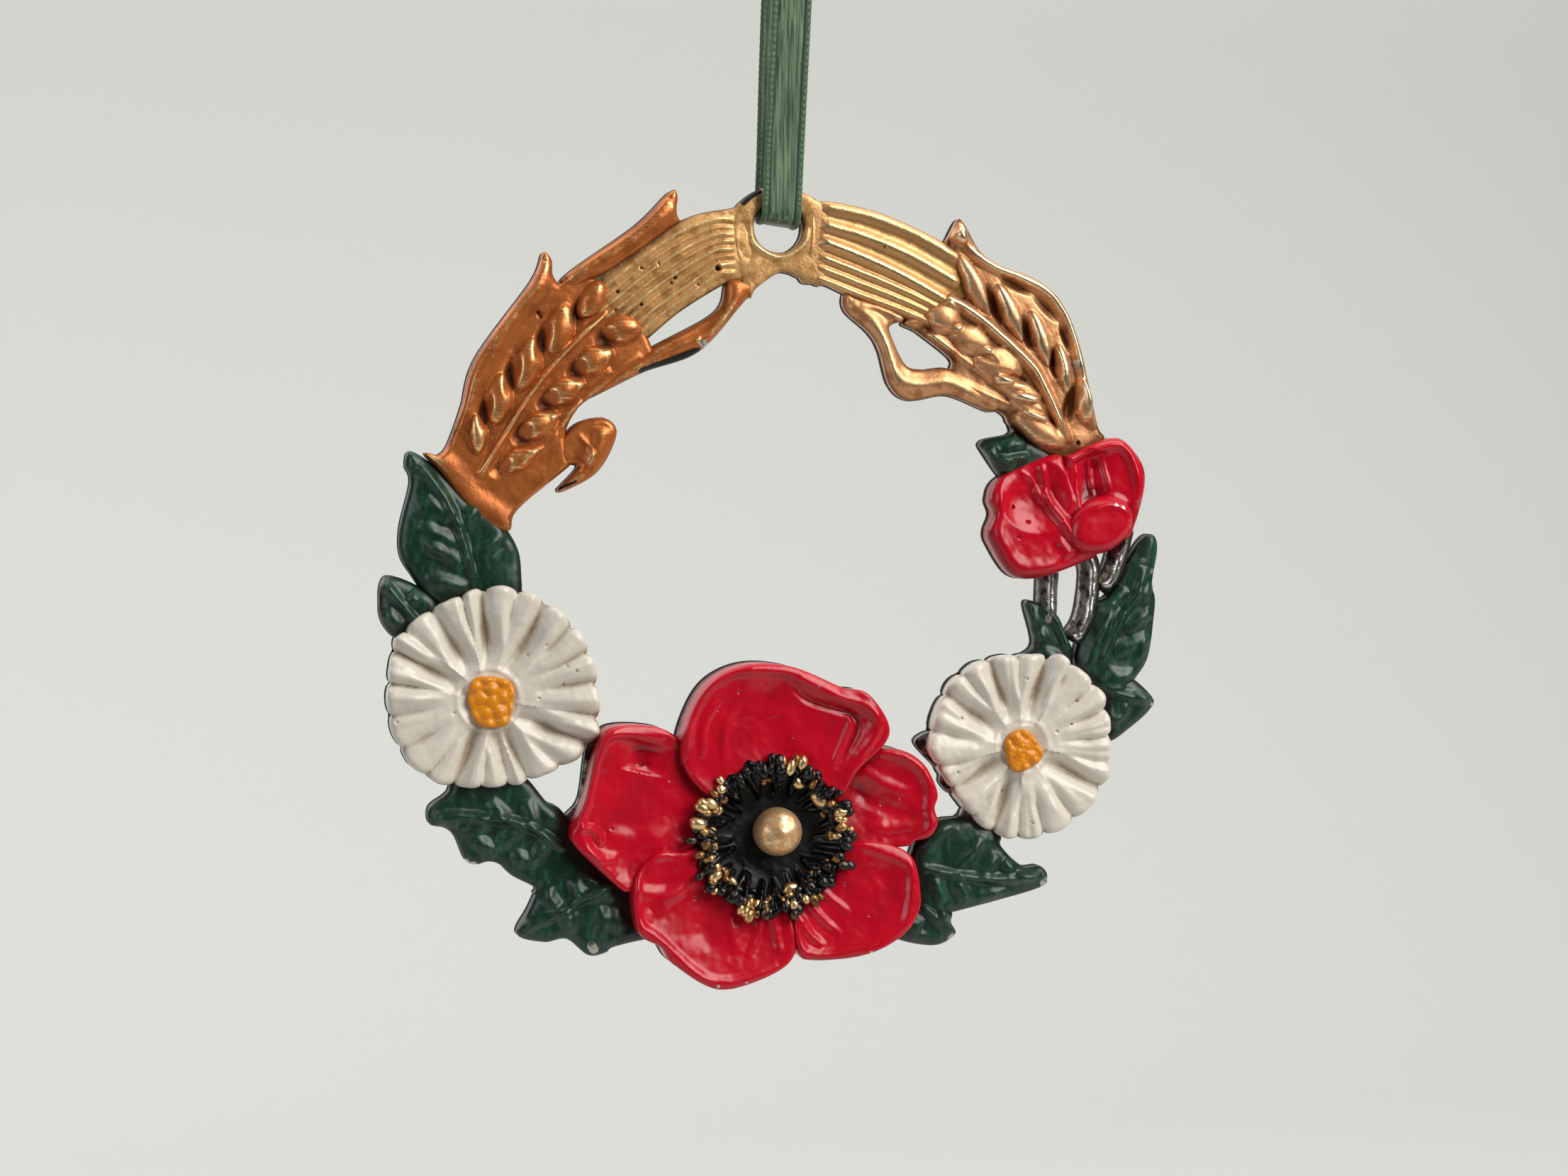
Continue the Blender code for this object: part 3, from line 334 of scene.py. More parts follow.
def mesh_object(name, vertices, faces, values):
    """A smooth mesh with its faces turned outwards and a number at each point for each of values."""
    mesh = bpy.data.meshes.new(name)
    mesh.from_pydata(np.asarray(vertices).tolist(), [], faces)
    for key, numbers in values.items():
        mesh.attributes.new(key, "FLOAT", "POINT").data.foreach_set("value", np.asarray(numbers, np.float32))
    made = bmesh.new()
    made.from_mesh(mesh)
    bmesh.ops.recalc_face_normals(made, faces=made.faces)
    made.to_mesh(mesh)
    made.free()
    mesh.shade_smooth()
    piece = bpy.data.objects.new(name, mesh)
    bpy.context.scene.collection.objects.link(piece)
    return piece


def ribbon_surface(across, along):
    """How far a face of the ribbon stands from its middle."""
    from_edge = RIBBON_WIDTH / 2 - np.abs(across)
    cord = np.clip(1 - ((from_edge - CORD_WIDTH / 2) / (CORD_WIDTH / 2)) ** 2, 0, 1)
    groove = np.exp(-((from_edge - CORD_WIDTH) / GROOVE_WIDTH) ** 2)
    loops = np.sin(math.tau * along / LOOP_PITCH + 3 * across / MM)
    body = 0.45 * RIBBON_THICKNESS * np.clip(from_edge / EDGE_ROUND, 0, 1) ** 0.5
    crimp = CRIMP_LIFT * np.sin(math.tau * (across / CRIMP_WIDE + 0.3 * np.sin(along / CRIMP_LONG)))
    return body * 0.75 + CORD_LIFT * cord ** 0.6 * (1 + 0.35 * loops) - GROOVE_DEPTH * groove + crimp


def ribbon_piece():
    """The strap as one closed mesh around the loop, and the line that it follows."""
    n = len(route)
    ahead = np.roll(route, -1, axis=0) - np.roll(route, 1, axis=0)
    outward = np.c_[-ahead[:, 1], ahead[:, 0]] / np.linalg.norm(ahead, axis=1)[:, None]
    share = (route[:, 1] - route[:, 1].min()) / np.ptp(route[:, 1])
    tilt = RIBBON_TILT * (1 - share) ** 2
    along = np.arange(n) * ribbon_length / n
    middle = np.c_[-LOOP_LEAN * (1 - share), route]
    sweep = RIBBON_WIDTH / 2 * np.sin(np.linspace(-math.pi / 2, math.pi / 2, RIBBON_COLUMNS))
    ring = np.r_[np.c_[sweep, -np.ones(RIBBON_COLUMNS)], np.c_[sweep[-2:0:-1], np.ones(RIBBON_COLUMNS - 2)]]
    rows = []
    for i in range(n):
        across = ring[:, 0]
        out = ring[:, 1] * ribbon_surface(across, along[i])
        edge = np.abs(across) > RIBBON_WIDTH / 2 - CORD_WIDTH
        swell = LOOP_SWELL * (1 + np.sin(math.tau * along[i] / LOOP_PITCH)) / 2
        across = across - np.sign(across) * edge * swell
        rows.append(np.c_[middle[i, 0] + across * math.cos(tilt[i]), middle[i, 1] + outward[i, 0] * out,
                          middle[i, 2] + outward[i, 1] * out - across * math.sin(tilt[i])])
    count = len(ring)
    faces = [(i * count + k, i * count + (k + 1) % count, (i + 1) % n * count + (k + 1) % count,
              (i + 1) % n * count + k) for i in range(n) for k in range(count)]
    piece = mesh_object("satin_ribbon", np.concatenate(rows), faces, {"across": np.tile(ring[:, 0] / MM, n)})
    return piece, [Vector(p) for p in middle]


ribbon, ribbon_line = ribbon_piece()
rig.ride(ribbon, "root")
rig.replaces(ribbon, "ribbon")
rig.slot(ribbon, "satin_ribbon")
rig.cord(ribbon, exit=ribbon_line[0], length=ribbon_length, diameter=RIBBON_WIDTH, far_end="object",
        stiffness="limp", lay="taut", path=ribbon_line)
print("ribbon faces:", len(ribbon.data.polygons))

# %% [markdown]
# Carving is heights added to a flat sheet of metal. Each maker below gives one function, which takes
# places on the face and says how far the metal is lifted there. A ridge is a rounded line, or a groove
# when its height is below 0. A grain is a pointed oval. Lumps are the soft unevenness of hand-cut moulds.

# %% Carving
def near_line(spots, line):
    """Each spot's distance from a line, and how far along it the nearest place is, 0 to 1."""
    run = line[1:] - line[:-1]
    lengths = np.maximum(np.linalg.norm(run, axis=1), 1e-9)
    starts = np.r_[0, np.cumsum(lengths)[:-1]]
    gaps, along = np.empty(len(spots)), np.empty(len(spots))
    for part in np.array_split(np.arange(len(spots)), 1 + len(spots) * len(line) // 400000):
        offset = spots[part, None] - line[:-1]
        share = np.clip((offset * run).sum(2) / lengths**2, 0, 1)
        far = np.hypot(*np.moveaxis(offset - share[..., None] * run, 2, 0))
        nearest = far.argmin(1)
        rows = np.arange(len(part))
        gaps[part] = far[rows, nearest]
        along[part] = starts[nearest] + share[rows, nearest] * lengths[nearest]
    return gaps, along / lengths.sum()


def only_near(line, reach, lift):
    """Limits a lift to the spots around a line, so that the others cost nothing."""
    low, high = line.min(0) - reach, line.max(0) + reach

    def limited(spots):
        near = ((spots > low) & (spots < high)).all(1)
        raised = np.zeros(len(spots))
        if near.any():
            raised[near] = lift(spots[near])
        return raised
    return limited


def ridge(path, width, height, fade=0.2, end_width=None):
    """A raised rounded line with a soft foot, or a groove where the height is below 0."""
    line = curve(path, 0.6)
    end_width = width if end_width is None else end_width

    def lift(spots):
        far, along = near_line(spots, line)
        half = (width + (end_width - width) * along) / 2
        ends = np.sqrt(np.clip(np.minimum(along, 1 - along) / fade, 0, 1)) if fade else 1
        return height * (0.5 + 0.5 * np.cos(math.pi * np.clip(far / half, 0, 1))) * ends
    return only_near(line, max(width, end_width) / 2, lift)


def mound(middle, length, width, turn, height, power=0.5, tip=0.0):
    """A domed oval, its length turned in degrees from the right; tip draws its ends out to points."""
    c, s = math.cos(math.radians(turn)), math.sin(math.radians(turn))

    def lift(spots):
        q = (spots - middle) @ np.array([[c, -s], [s, c]]) / (length / 2, width / 2)
        narrow = np.clip(1 - tip * np.abs(q[:, 0]), 0.05, 1)
        return height * np.clip(1 - q[:, 0] ** 2 - (q[:, 1] / narrow) ** 2, 0, 1) ** power
    return only_near(np.array([middle]), length, lift)


def pits(places, radius=0.28, depth=0.5):
    """Pinholes that the casting's gas bubbles left."""
    return [mound(place, 2 * radius, 2 * radius, 0, -depth) for place in places]


LATTICE = np.random.default_rng(7).uniform(-1, 1, (128, 128))


def unevenness(spots, size):
    """Soft lumps about one size across, from -1 to 1."""
    q = spots / size + 40.3
    cell = np.floor(q).astype(int)
    t = (q - cell) ** 2 * (3 - 2 * (q - cell))
    (i, j), (a, b) = cell.T % 127, t.T
    low = LATTICE[i, j] * (1 - a) + LATTICE[i + 1, j] * a
    high = LATTICE[i, j + 1] * (1 - a) + LATTICE[i + 1, j + 1] * a
    return low * (1 - b) + high * b

# %% [markdown]
# Each painted part is one closed piece: a front of fine triangles that follows the carving, walls down
# to the flat back, and the back itself. The front is a grid of points about 0.12 mm apart, finer at the
# rim, where the face turns over into the wall. All pieces are drawn first, because the painted shade
# and the gilding need to know where the whole relief is high or low.

# %% A cast piece
GRID = 0.19
RIM_RINGS = (0.09, 0.22)
CROWN, CROWN_REACH, CURL_REACH = 0.06, 4.0, 2.8
LUMP, SMALL_LUMP = 2.1, 0.7
THINNEST = 0.6 * MM
WALL_LEVELS = (0.86, 0.66, 0.42, 0.2, 0.06, 0.0)
WALL_DRAFT = (0.0, 0.02, 0.05, 0.07, 0.1, 0.22)
PIECES = []


def inside(spots, edge):
    """Which spots lie inside a closed line."""
    odd = np.zeros(len(spots), bool)
    for (x0, y0), (x1, y1) in zip(edge, np.roll(edge, -1, axis=0)):
        if y0 != y1:
            crosses = (spots[:, 1] < y0) != (spots[:, 1] < y1)
            odd ^= crosses & (spots[:, 0] < x0 + (spots[:, 1] - y0) / (y1 - y0) * (x1 - x0))
    return odd


def inward(loop):
    """Unit vectors that point into the area of a closed line."""
    along = np.roll(loop, -1, axis=0) - np.roll(loop, 1, axis=0)
    area = np.sum(loop[:, 0] * np.roll(loop[:, 1], -1) - loop[:, 1] * np.roll(loop[:, 0], -1))
    along = along / np.maximum(np.linalg.norm(along, axis=1), 1e-9)[:, None]
    return np.c_[-along[:, 1], along[:, 0]] * np.sign(area)


def ring_links(loops):
    """The edges of closed lines whose points are numbered one line after another."""
    links, start = [], 0
    for loop in loops:
        links += [(start + i, start + (i + 1) % len(loop)) for i in range(len(loop))]
        start += len(loop)
    return links


def closed(line):
    """A closed line with its first point repeated at its end."""
    return np.r_[line, line[:1]]


def sheet(edge, hole):
    """A piece before it is carved: its points, the triangles of its front and of its back, how far
    each point is from the rim, and how many points each rim has."""
    rim = closed(edge)
    low, high = edge.min(0), edge.max(0)
    across, upward = np.arange(low[0], high[0], GRID), np.arange(low[1], high[1], GRID * 0.866)
    grid = np.stack(np.meshgrid(across, upward), axis=-1)
    grid[1::2, :, 0] += GRID / 2
    grid = grid.reshape(-1, 2)
    grid = grid[inside(grid, edge)]
    grid = grid[near_line(grid, rim)[0] > RIM_RINGS[-1] + 0.5 * GRID]
    rings = [edge + inward(edge) * gap for gap in RIM_RINGS]
    rings = [ring[inside(ring, edge) & (near_line(ring, rim)[0] > 0.9 * gap)]
             for ring, gap in zip(rings, RIM_RINGS)]
    loops = [edge]
    if hole is not None:
        loops.append(hole)
        grid = grid[~inside(grid, hole) & (near_line(grid, closed(hole))[0] > 0.6 * GRID)]
    spots, rims = np.concatenate(loops + rings + [grid]), np.concatenate(loops)
    links = ring_links(loops)
    made, _, triangles, *_ = delaunay_2d_cdt([tuple(q) for q in spots], links, [], 1, 1e-5)
    under = delaunay_2d_cdt([tuple(q) for q in rims], links, [], 1, 1e-5)[2]
    spots = np.array([tuple(q) for q in made])
    off_rim = near_line(spots, rim)[0]
    if hole is not None:
        triangles = [t for t in triangles if not inside(spots[list(t)].mean(0)[None], hole)[0]]
        under = [t for t in under if not inside(spots[list(t)].mean(0)[None], hole)[0]]
        off_rim = np.minimum(off_rim, near_line(spots, closed(hole))[0])
    return spots, triangles, under, off_rim, [len(loop) for loop in loops]


def cast(name, paint, edge, thickness, carving=(), edge_drop=0.5, edge_round=0.5, lumps=0.05, hole=None,
         chips=(), bare=(), curl=0.0):
    """Draws one piece of the casting; thickness in metres, the rest in hundredths. edge_drop, edge_round
    and lumps say how far the face falls at its rim, over how wide a band, and how uneven it is."""
    spots, triangles, under, off_rim, loops = sheet(edge, hole)
    height = thickness / UNIT + CROWN * CROWN_REACH * (1 - np.exp(-off_rim / CROWN_REACH))
    height += lumps * unevenness(spots, LUMP) + 0.3 * lumps * unevenness(spots[:, ::-1], SMALL_LUMP)
    height += curl * np.exp(-off_rim / CURL_REACH)
    for lift in carving:
        height += lift(spots)
    d = np.clip(off_rim / edge_round, 0, 1)
    height -= edge_drop * (1 - np.sqrt(1 - (1 - d) ** 2))
    height = np.maximum(height, THINNEST / UNIT)
    worn = np.zeros(len(spots))
    for place, radius in chips:
        worn = np.maximum(worn, 1.5 - np.linalg.norm(spots - place, axis=1) / radius)
    unpainted = sum((lift(spots) for lift in bare), np.zeros(len(spots)))
    PIECES.append(dict(name=name, paint=paint, spots=spots, height=height, loops=loops,
                       triangles=triangles, under=under, worn=np.clip(worn, 0, 1),
                       wall=np.clip(unpainted, 0, 1)))


def ellipse(middle, length, width, turn=0, count=72):
    """A closed oval line, its length turned in degrees from the right."""
    c, s = math.cos(math.radians(turn)), math.sin(math.radians(turn))
    t = np.arange(count) * math.tau / count
    return middle + np.c_[np.cos(t) * length / 2, np.sin(t) * width / 2] @ np.array([[c, s], [-s, c]])

# %% [markdown]
# The neck holds the hanging hole. On the real casting it is a smooth pad of metal with a worn lip below
# the hole, and the two sheaves of straw grow out of it. Each sheaf is a flat band whose stalks run
# side by side, so one ridge is drawn at each stalk's own share of the way between the band's two edges.

# %% Neck and straws
NECK_THICKNESS, STRAW_THICKNESS = 1.9 * MM, 1.8 * MM


def neck():
    edge = [(-4.2, 47.2), (0.8, 50.5), (7.5, 48.1), (7.8, 43.7), (7.5, 38.5), (5.8, 38.4), (2.1, 39.7),
        (-1.3, 37.7), (-2.3, 36.6), (-4.2, 41.9)]
    lip = ridge([(-2.2, 44.8), (-1.7, 43.1), (1.5, 41.5), (4.6, 43.2), (5.2, 45.2)], 1.3, 0.4, 0.2)
    hollow = ridge([(-2.7, 46.1), (-2.8, 43), (-1.9, 41)], 2.4, -0.35, 0.3)
    cast("neck", "straw", outline(edge), NECK_THICKNESS, [lip, hollow], 0.5, 0.6, 0.06,
        hole=ellipse(HOLE, 2 * HOLE_RADIUS / UNIT, 2 * HOLE_RADIUS / UNIT),
        bare=[ridge([(-3.3, 47.9), (-2.2, 49.1), (-0.7, 49.9)], 1.6, 1.3, 0.1)])


def straws(name, paint, edge, outer, inner, stalks, end, carving, roughness):
    """A flat sheaf. A stalk is its share of the way between two edges at the neck and at the ear,
    its width and its height. The sheaf sinks towards the line of its end, in under the ear."""
    outer, inner = points(outer)[:, :2], points(inner)[:, :2]
    carving = list(carving)
    for first, last, width, height in stalks:
        share = np.linspace(first, last, len(outer))[:, None]
        carving.append(ridge(outer * (1 - share) + inner * share, width, height, 0.06))
    carving.append(ridge(end, 6.0, -1.4, 0.1))
    cast(name, paint, outline(edge), STRAW_THICKNESS, carving, 0.6, 0.6, roughness)


def left_straws():
    edge = [(-3.4, 47.4), (-5, 47.5), (-11, 45.9), (-20.4, 39.8), (-23.9, 38.2), (-24.9, 35.9),
        (-22.7, 32.6), (-19.4, 30.5), (-16.6, 30), (-15.1, 31.2, CORNER), (-11, 34.6), (-5.7, 37.9),
        (-3.8, 38.5), (-1.9, 38.1), (-1.3, 40), (-1.9, 43.5)]
    outer = [(-4.2, 46.5), (-7, 46.4), (-11.5, 44.7), (-16.6, 41.3), (-20.9, 37.9), (-23.6, 35.8)]
    inner = [(-4.1, 38.9), (-6.6, 38.5), (-10, 35.9), (-13.1, 33.7), (-16, 31.2), (-18.3, 29.2)]
    stalks = [(0.05, 0.05, 1.3, 0.35), (0.18, 0.17, 1.0, 0.3), (0.29, 0.29, 1.15, 0.45),
        (0.41, 0.42, 1.15, 0.4), (0.53, 0.54, 1.1, 0.48), (0.65, 0.66, 1.1, 0.38),
        (0.78, 0.78, 1.2, 0.48), (0.92, 0.91, 1.2, 0.35)]
    holes = pits([(-6.4, 40.1)], 0.42, 0.9)
    holes += pits([(-16, 39.9), (-13.8, 40.5), (-19, 36.9), (-12.2, 38.1), (-16, 35.4), (-11.8, 38.8),
            (-19.3, 34.6), (-8.8, 37.9)], 0.22)
    brim = mound((-6.4, 40.1), 1.7, 1.5, 0, 0.22)
    straws("left_straws", "straw", edge, outer, inner, stalks,
        [(-26.2, 37.9), (-23.8, 33.1), (-19, 28.2)], holes + [brim], 0.1)


def right_straws():
    edge = [(5.9, 48.6), (6.2, 48.5), (8.7, 48.6), (15.8, 47), (25, 42.7), (27.1, 39.9), (27.3, 37.3),
        (25.8, 34.1), (23.5, 32.1), (18.1, 34), (15.2, 34.7), (8.2, 38), (4.3, 39.3)]
    outer = [(6.9, 48.3), (12.7, 47.5), (19, 45.5), (25.4, 42.2)]
    inner = [(6.1, 38.5), (11.5, 36.4), (17.7, 34.2), (24.6, 31.4)]
    stalks = [(0.03, 0.08, 2.6, 0.5), (0.25, 0.35, 2.5, 0.6), (0.46, 0.63, 2.5, 0.75),
        (0.66, 0.75, 1.6, 0.5), (0.8, 0.84, 1.4, 0.42), (0.94, 0.93, 1.4, 0.42)]
    post = ridge([(5.5, 47.9), (5.8, 44.5), (5.4, 40.8)], 1.7, 0.35, 0.3)
    nicks = pits([(4.5, 38.1), (7.3, 37.5)], 0.34, 0.5)
    straws("right_straws", "gold_straw", edge, outer, inner, stalks,
        [(26.7, 44), (28.4, 39.7), (27.8, 35), (23.2, 30.3)], pits([(15.1, 43.1)], 0.24) + [post] + nicks,
        0.07)


neck()
left_straws()
right_straws()
print("neck and straws:", [(p["name"], len(p["triangles"])) for p in PIECES])

# %% [markdown]
# An ear of wheat is a flat tongue of metal with a rim, a thin stalk down its middle and two rows of
# pointed grains that lean away from the stalk. A dark hollow lies beside each grain, where the mould
# was cut deeper to make the grain stand out. The awns are the bare bars and hooks that end the ear.

# %% Ears of wheat
EAR_THICKNESS, TOP_GRAIN_THICKNESS = 1.9 * MM, 2.45 * MM
GRAIN_LIFT, GRAIN_ROUND, GRAIN_TIP = 1.2, 0.7, 0.25
EAR_RIM, TOP_GRAIN_RIM = (1.0, 0.8, 0.08), (1.6, 1.7, 0.15)


def awn(name, paint, edge, ridges, edge_drop=0.95, edge_round=0.8, **more):
    """A narrow raised bar with ridges along it, each a path, a width and a height."""
    carving = [ridge(path, 1.4 * width, height, 0.15) for path, width, height in ridges]
    cast(name, paint, outline(edge), EAR_THICKNESS, carving, edge_drop, edge_round, 0.08, **more)


def ear(name, paint, edge, lines, grains, hollows, extra=(), **more):
    """Lines: a path, two widths and a height. Grains and hollows: a middle, length, width and turn."""
    carving = []
    for path, width, end_width, height in lines:
        carving.append(ridge(path, 1.5 * width, height, 0.12, 1.5 * end_width))
    for middle, length, width, turn in grains:
        carving.append(mound(middle, length, width, turn, GRAIN_LIFT, GRAIN_ROUND, GRAIN_TIP))
    for middle, length, width, turn, depth in hollows:
        carving.append(mound(middle, length, width, turn, -depth, 1.4))
    cast(name, paint, outline(edge), EAR_THICKNESS, carving + list(extra), *EAR_RIM, **more)


def left_ear():
    awn("left_outer_awn", "copper",
        [(-26.1, 37.9), (-24.4, 39.8), (-16.5, 45.4), (-12.3, 49.5), (-11.3, 49.2), (-11.4, 47),
            (-10.9, 45.8, CORNER), (-19.2, 39.9), (-24.3, 37.3)],
        [([(-25.4, 38.3), (-16.1, 44.1), (-12.2, 48.3)], 3.0, 0.75),
            ([(-21, 39.1), (-12.9, 44.9)], 0.8, 0.16)])
    awn("left_inner_awn", "copper",
        [(-2.1, 38.4), (-1.7, 37.5), (-3.2, 35.5), (-8.7, 29.6), (-15.7, 27), (-23, 23.5), (-20.9, 25.8),
            (-15.1, 29.9), (-6.5, 34.7), (-4.9, 38.6)],
        [([(-3.7, 38.2), (-4.8, 35), (-7.5, 31.9), (-12, 30.1), (-21, 25.2)], 1.7, 0.4),
            ([(-9.1, 31.4), (-8.4, 30.3), (-7.4, 30.1)], 0.7, 0.3),
            ([(-7.5, 33.5), (-15.6, 29)], 0.6, 0.2)],
        bare=[ridge([(-8.4, 30), (-16.5, 27)], 1.5, 1.6, 0.1)],
        chips=[((-8.3, 30.7), 0.45), ((-7.5, 30.3), 0.45)])
    awn("left_hook", "copper",
        [(-24.3, 20.5), (-20.7, 21.4), (-19, 19.4), (-21.4, 14.7), (-25.8, 12.2), (-26.5, 12.5, CORNER),
            (-24, 15.3), (-25.8, 15.6), (-26.5, 17.4)],
        [([(-21, 20.2), (-21.4, 17.8), (-23.2, 15.6)], 2.2, 0.45),
            ([(-24.1, 19.4), (-22.3, 16.9), (-23.6, 14.7)], 0.8, 0.15)],
        bare=[ridge([(-26.5, 12.5), (-24.1, 13.6)], 0.7, 1.4, 0.1)])
    edge = [(-26.3, 37.9, CORNER), (-27, 39.1), (-27.1, 40.8), (-28.2, 41.7), (-29.7, 38.2),
        (-36.6, 28.7), (-38.4, 22.6), (-40.1, 18), (-41.2, 16.7, CORNER), (-42.9, 16.9), (-40.9, 14.5),
        (-37.8, 10.4), (-33.9, 7.3), (-32.3, 7.5, CORNER), (-31.3, 10.1), (-24.9, 15.4, CORNER),
        (-25.4, 19.4), (-24, 22.4), (-22.1, 24, CORNER), (-16, 27), (-14.3, 29.2), (-16.1, 33.2),
        (-17.8, 34.7), (-19.9, 37.8), (-23.9, 39.2)]
    lines = [([(-20.3, 34.4), (-24.7, 30.4), (-29.8, 24.5), (-36.4, 14.1)], 0.8, 0.9, 0.8),
        ([(-28, 40.6), (-29.3, 37.4), (-32.3, 33.8), (-37, 25.1), (-38.6, 19.5)], 3.0, 3.4, 0.85),
        ([(-16.1, 29.2), (-19.9, 26.6), (-28.1, 18.5), (-31.2, 16)], 1.1, 1.1, 0.35),
        ([(-19.9, 27.4), (-22.3, 25.8), (-24.4, 25.1)], 0.8, 0.8, 0.3),
        ([(-23.5, 23.5), (-25.4, 22), (-27.6, 21.3)], 0.8, 0.8, 0.3),
        ([(-26.3, 19.5), (-28.1, 17.6), (-30.3, 16.9)], 0.8, 0.8, 0.3),
        ([(-42.8, 17.2), (-39.7, 14.5), (-37.4, 11.3), (-31.8, 7.7)], 3.4, 3.4, 0.4)]
    grains = [((-26.4, 32.1), 7.0, 3.9, -104), ((-30.4, 27.9), 7.0, 3.9, -106),
        ((-33.9, 23.6), 6.6, 3.7, -98), ((-36.5, 19.3), 5.0, 2.6, -88), ((-18.4, 32.3), 5.4, 4.0, 12),
        ((-22.1, 28.4), 5.6, 3.7, 28), ((-25.8, 24.6), 5.8, 3.6, 30), ((-29, 20.4), 5.8, 3.5, 30),
        ((-31.4, 16.2), 5.6, 3.2, 28)]
    hollows = [((-23.9, 34.4), 4.6, 2.4, -110, 0.8), ((-28.5, 30.8), 5.6, 2.2, -106, 0.75),
        ((-32.3, 26.5), 5.6, 2.2, -106, 0.75), ((-35.6, 22.1), 5.2, 2.0, -100, 0.65),
        ((-20.6, 31.1), 3.4, 3.0, 60, 0.75), ((-24.2, 27.2), 3.4, 2.8, 50, 0.8),
        ((-27.8, 23.4), 3.4, 2.8, 50, 0.8), ((-31, 19.3), 3.4, 2.8, 50, 0.75),
        ((-33.7, 15.2), 3.4, 2.4, 40, 0.5)]
    top_grain = ellipse((-22.2, 35.9), 5.6, 3.7, -118)
    cast("left_top_grain", "copper", top_grain, TOP_GRAIN_THICKNESS, (), *TOP_GRAIN_RIM)
    ear("left_ear", "copper", edge, lines, grains, hollows, pits([(-28.6, 33.8),
        (-28.9, 34.2)], 0.3))


def right_ear():
    awn("right_inner_awn", "bronze",
        [(10.2, 37.2), (10.3, 35), (13.3, 32.3), (14.7, 30.1), (16.1, 25.6), (18.7, 23.7), (23.9, 24.3),
            (29.6, 22.3), (30.4, 24.2), (27.4, 26.2), (23.4, 27.9), (20.1, 27.7), (18, 28.4),
            (16.1, 32.2), (16.3, 33.3), (17.7, 33.8), (17.1, 34.9), (12.1, 36.6)],
        [([(10.8, 35.9), (14.1, 32.9), (16.7, 26.8), (19.4, 25.7), (23.6, 26), (27.8, 24)], 2.3, 0.6),
            ([(12, 36.1), (15.7, 34.9), (19.9, 32.2)], 1.3, 0.3)])
    edge = [(23.5, 44.1, CORNER), (24.9, 46.6), (25.8, 46.2), (29, 41.7), (36.3, 38.7), (40.6, 32.6),
        (43.4, 21.4), (44.6, 19), (43.3, 16.1), (39.5, 15.7), (35.9, 17.2), (31.8, 20.9, CORNER),
        (30.7, 22.3), (25, 24.3), (23.2, 25.6), (24.3, 28.1, CORNER), (24, 29.2), (19.9, 32.3),
        (17.8, 33.7), (22.5, 36.5), (24.1, 39.2)]
    lines = [([(19.8, 38.1), (26.5, 34.9), (33.8, 28.8), (36.1, 25.4), (39.5, 18.3)], 1.7, 1.3, 1.1),
        ([(24.7, 45.3), (26.4, 42.9), (28.7, 41.3), (36, 38.1), (38.5, 35.6), (40, 32.2), (43.1, 20.2)],
            1.6, 1.5, 0.8), ([(24.1, 26.4), (37.7, 20.6)], 1.2, 1.0, 0.3),
        ([(20.8, 32.2), (27.8, 27.4)], 1.3, 1.0, 0.35)]
    grains = [((24.7, 45), 3.4, 2.8, -70), ((26.8, 38.4), 8.8, 3.0, -63), ((31.6, 35), 8.0, 2.8, -65),
        ((35.7, 31.7), 7.6, 2.6, -70), ((38.7, 27.9), 6.6, 2.3, -78), ((41.4, 23.7), 6.2, 2.3, -82),
        ((22.8, 34.2), 5.4, 4.4, -25), ((26.4, 31.4), 6.0, 4.2, -25), ((30, 28.2), 7.0, 5.2, -20),
        ((32.5, 25.2), 7.2, 3.0, -22), ((34.4, 23), 6.8, 3.0, -26), ((35.6, 20), 8.0, 3.6, -32)]
    hollows = [((24.3, 39.2), 6.8, 2.2, -64, 0.9), ((29.5, 35.9), 6.0, 1.9, -65, 0.9),
        ((33.9, 32.4), 5.2, 1.9, -70, 0.9), ((37.5, 28.6), 4.8, 1.8, -74, 0.9),
        ((39.7, 23.4), 5.6, 2.2, 76, 1.0), ((32.5, 38.4), 6.0, 1.7, -24, 0.7),
        ((36.5, 35.6), 5.6, 1.7, -46, 0.7), ((39.2, 31.7), 5.0, 1.5, -68, 0.7),
        ((20.9, 32.8), 4.0, 1.6, -10, 0.5), ((27.7, 29.6), 5.0, 1.5, -30, 0.5),
        ((31.8, 26.8), 5.0, 1.3, -22, 0.5), ((36.7, 22.1), 5.0, 1.3, -52, 0.6)]
    ear("right_ear", "bronze", edge, lines, grains, hollows, pits([(40.8, 18.4)], 0.26),
        chips=[((40.5, 28.4), 0.5), ((40.3, 28.6), 0.4)])


left_ear()
right_ear()
print("ears of wheat:", [(p["name"], len(p["triangles"])) for p in PIECES[3:]])

# %% [markdown]
# The leaves are cut like a carver's chip work: a raised midrib, a few veins that leave it at a slant,
# and soft pillows of metal between them. Their edges are rounded by the rumbling barrel that castings
# are finished in, and the paint has worn through at the tips.

# %% Leaves
LEAF_THICKNESS, LEAF_RIM = 2.0 * MM, (1.1, 1.6, 0.1)
MIDRIB_LIFT, VEIN_LIFT = 0.75, 0.6


def leaf(name, edge, midrib, veins=(), rise=0.0, pillows=(), chips=()):
    """A leaf with a raised midrib and thinner veins; rise lifts it over its neighbour."""
    carving = [ridge(midrib, 2.2, MIDRIB_LIFT, 0.15, 1.6)]
    carving += [ridge(vein, 3.2, VEIN_LIFT, 0.35, 2.4) for vein in veins]
    for middle, length, width, turn, height in pillows:
        carving.append(mound(middle, length, width, turn, 1.6 * height, 1.5))
    cast(name, "leaf", outline(edge), LEAF_THICKNESS + rise * MM, carving, *LEAF_RIM, chips=chips)


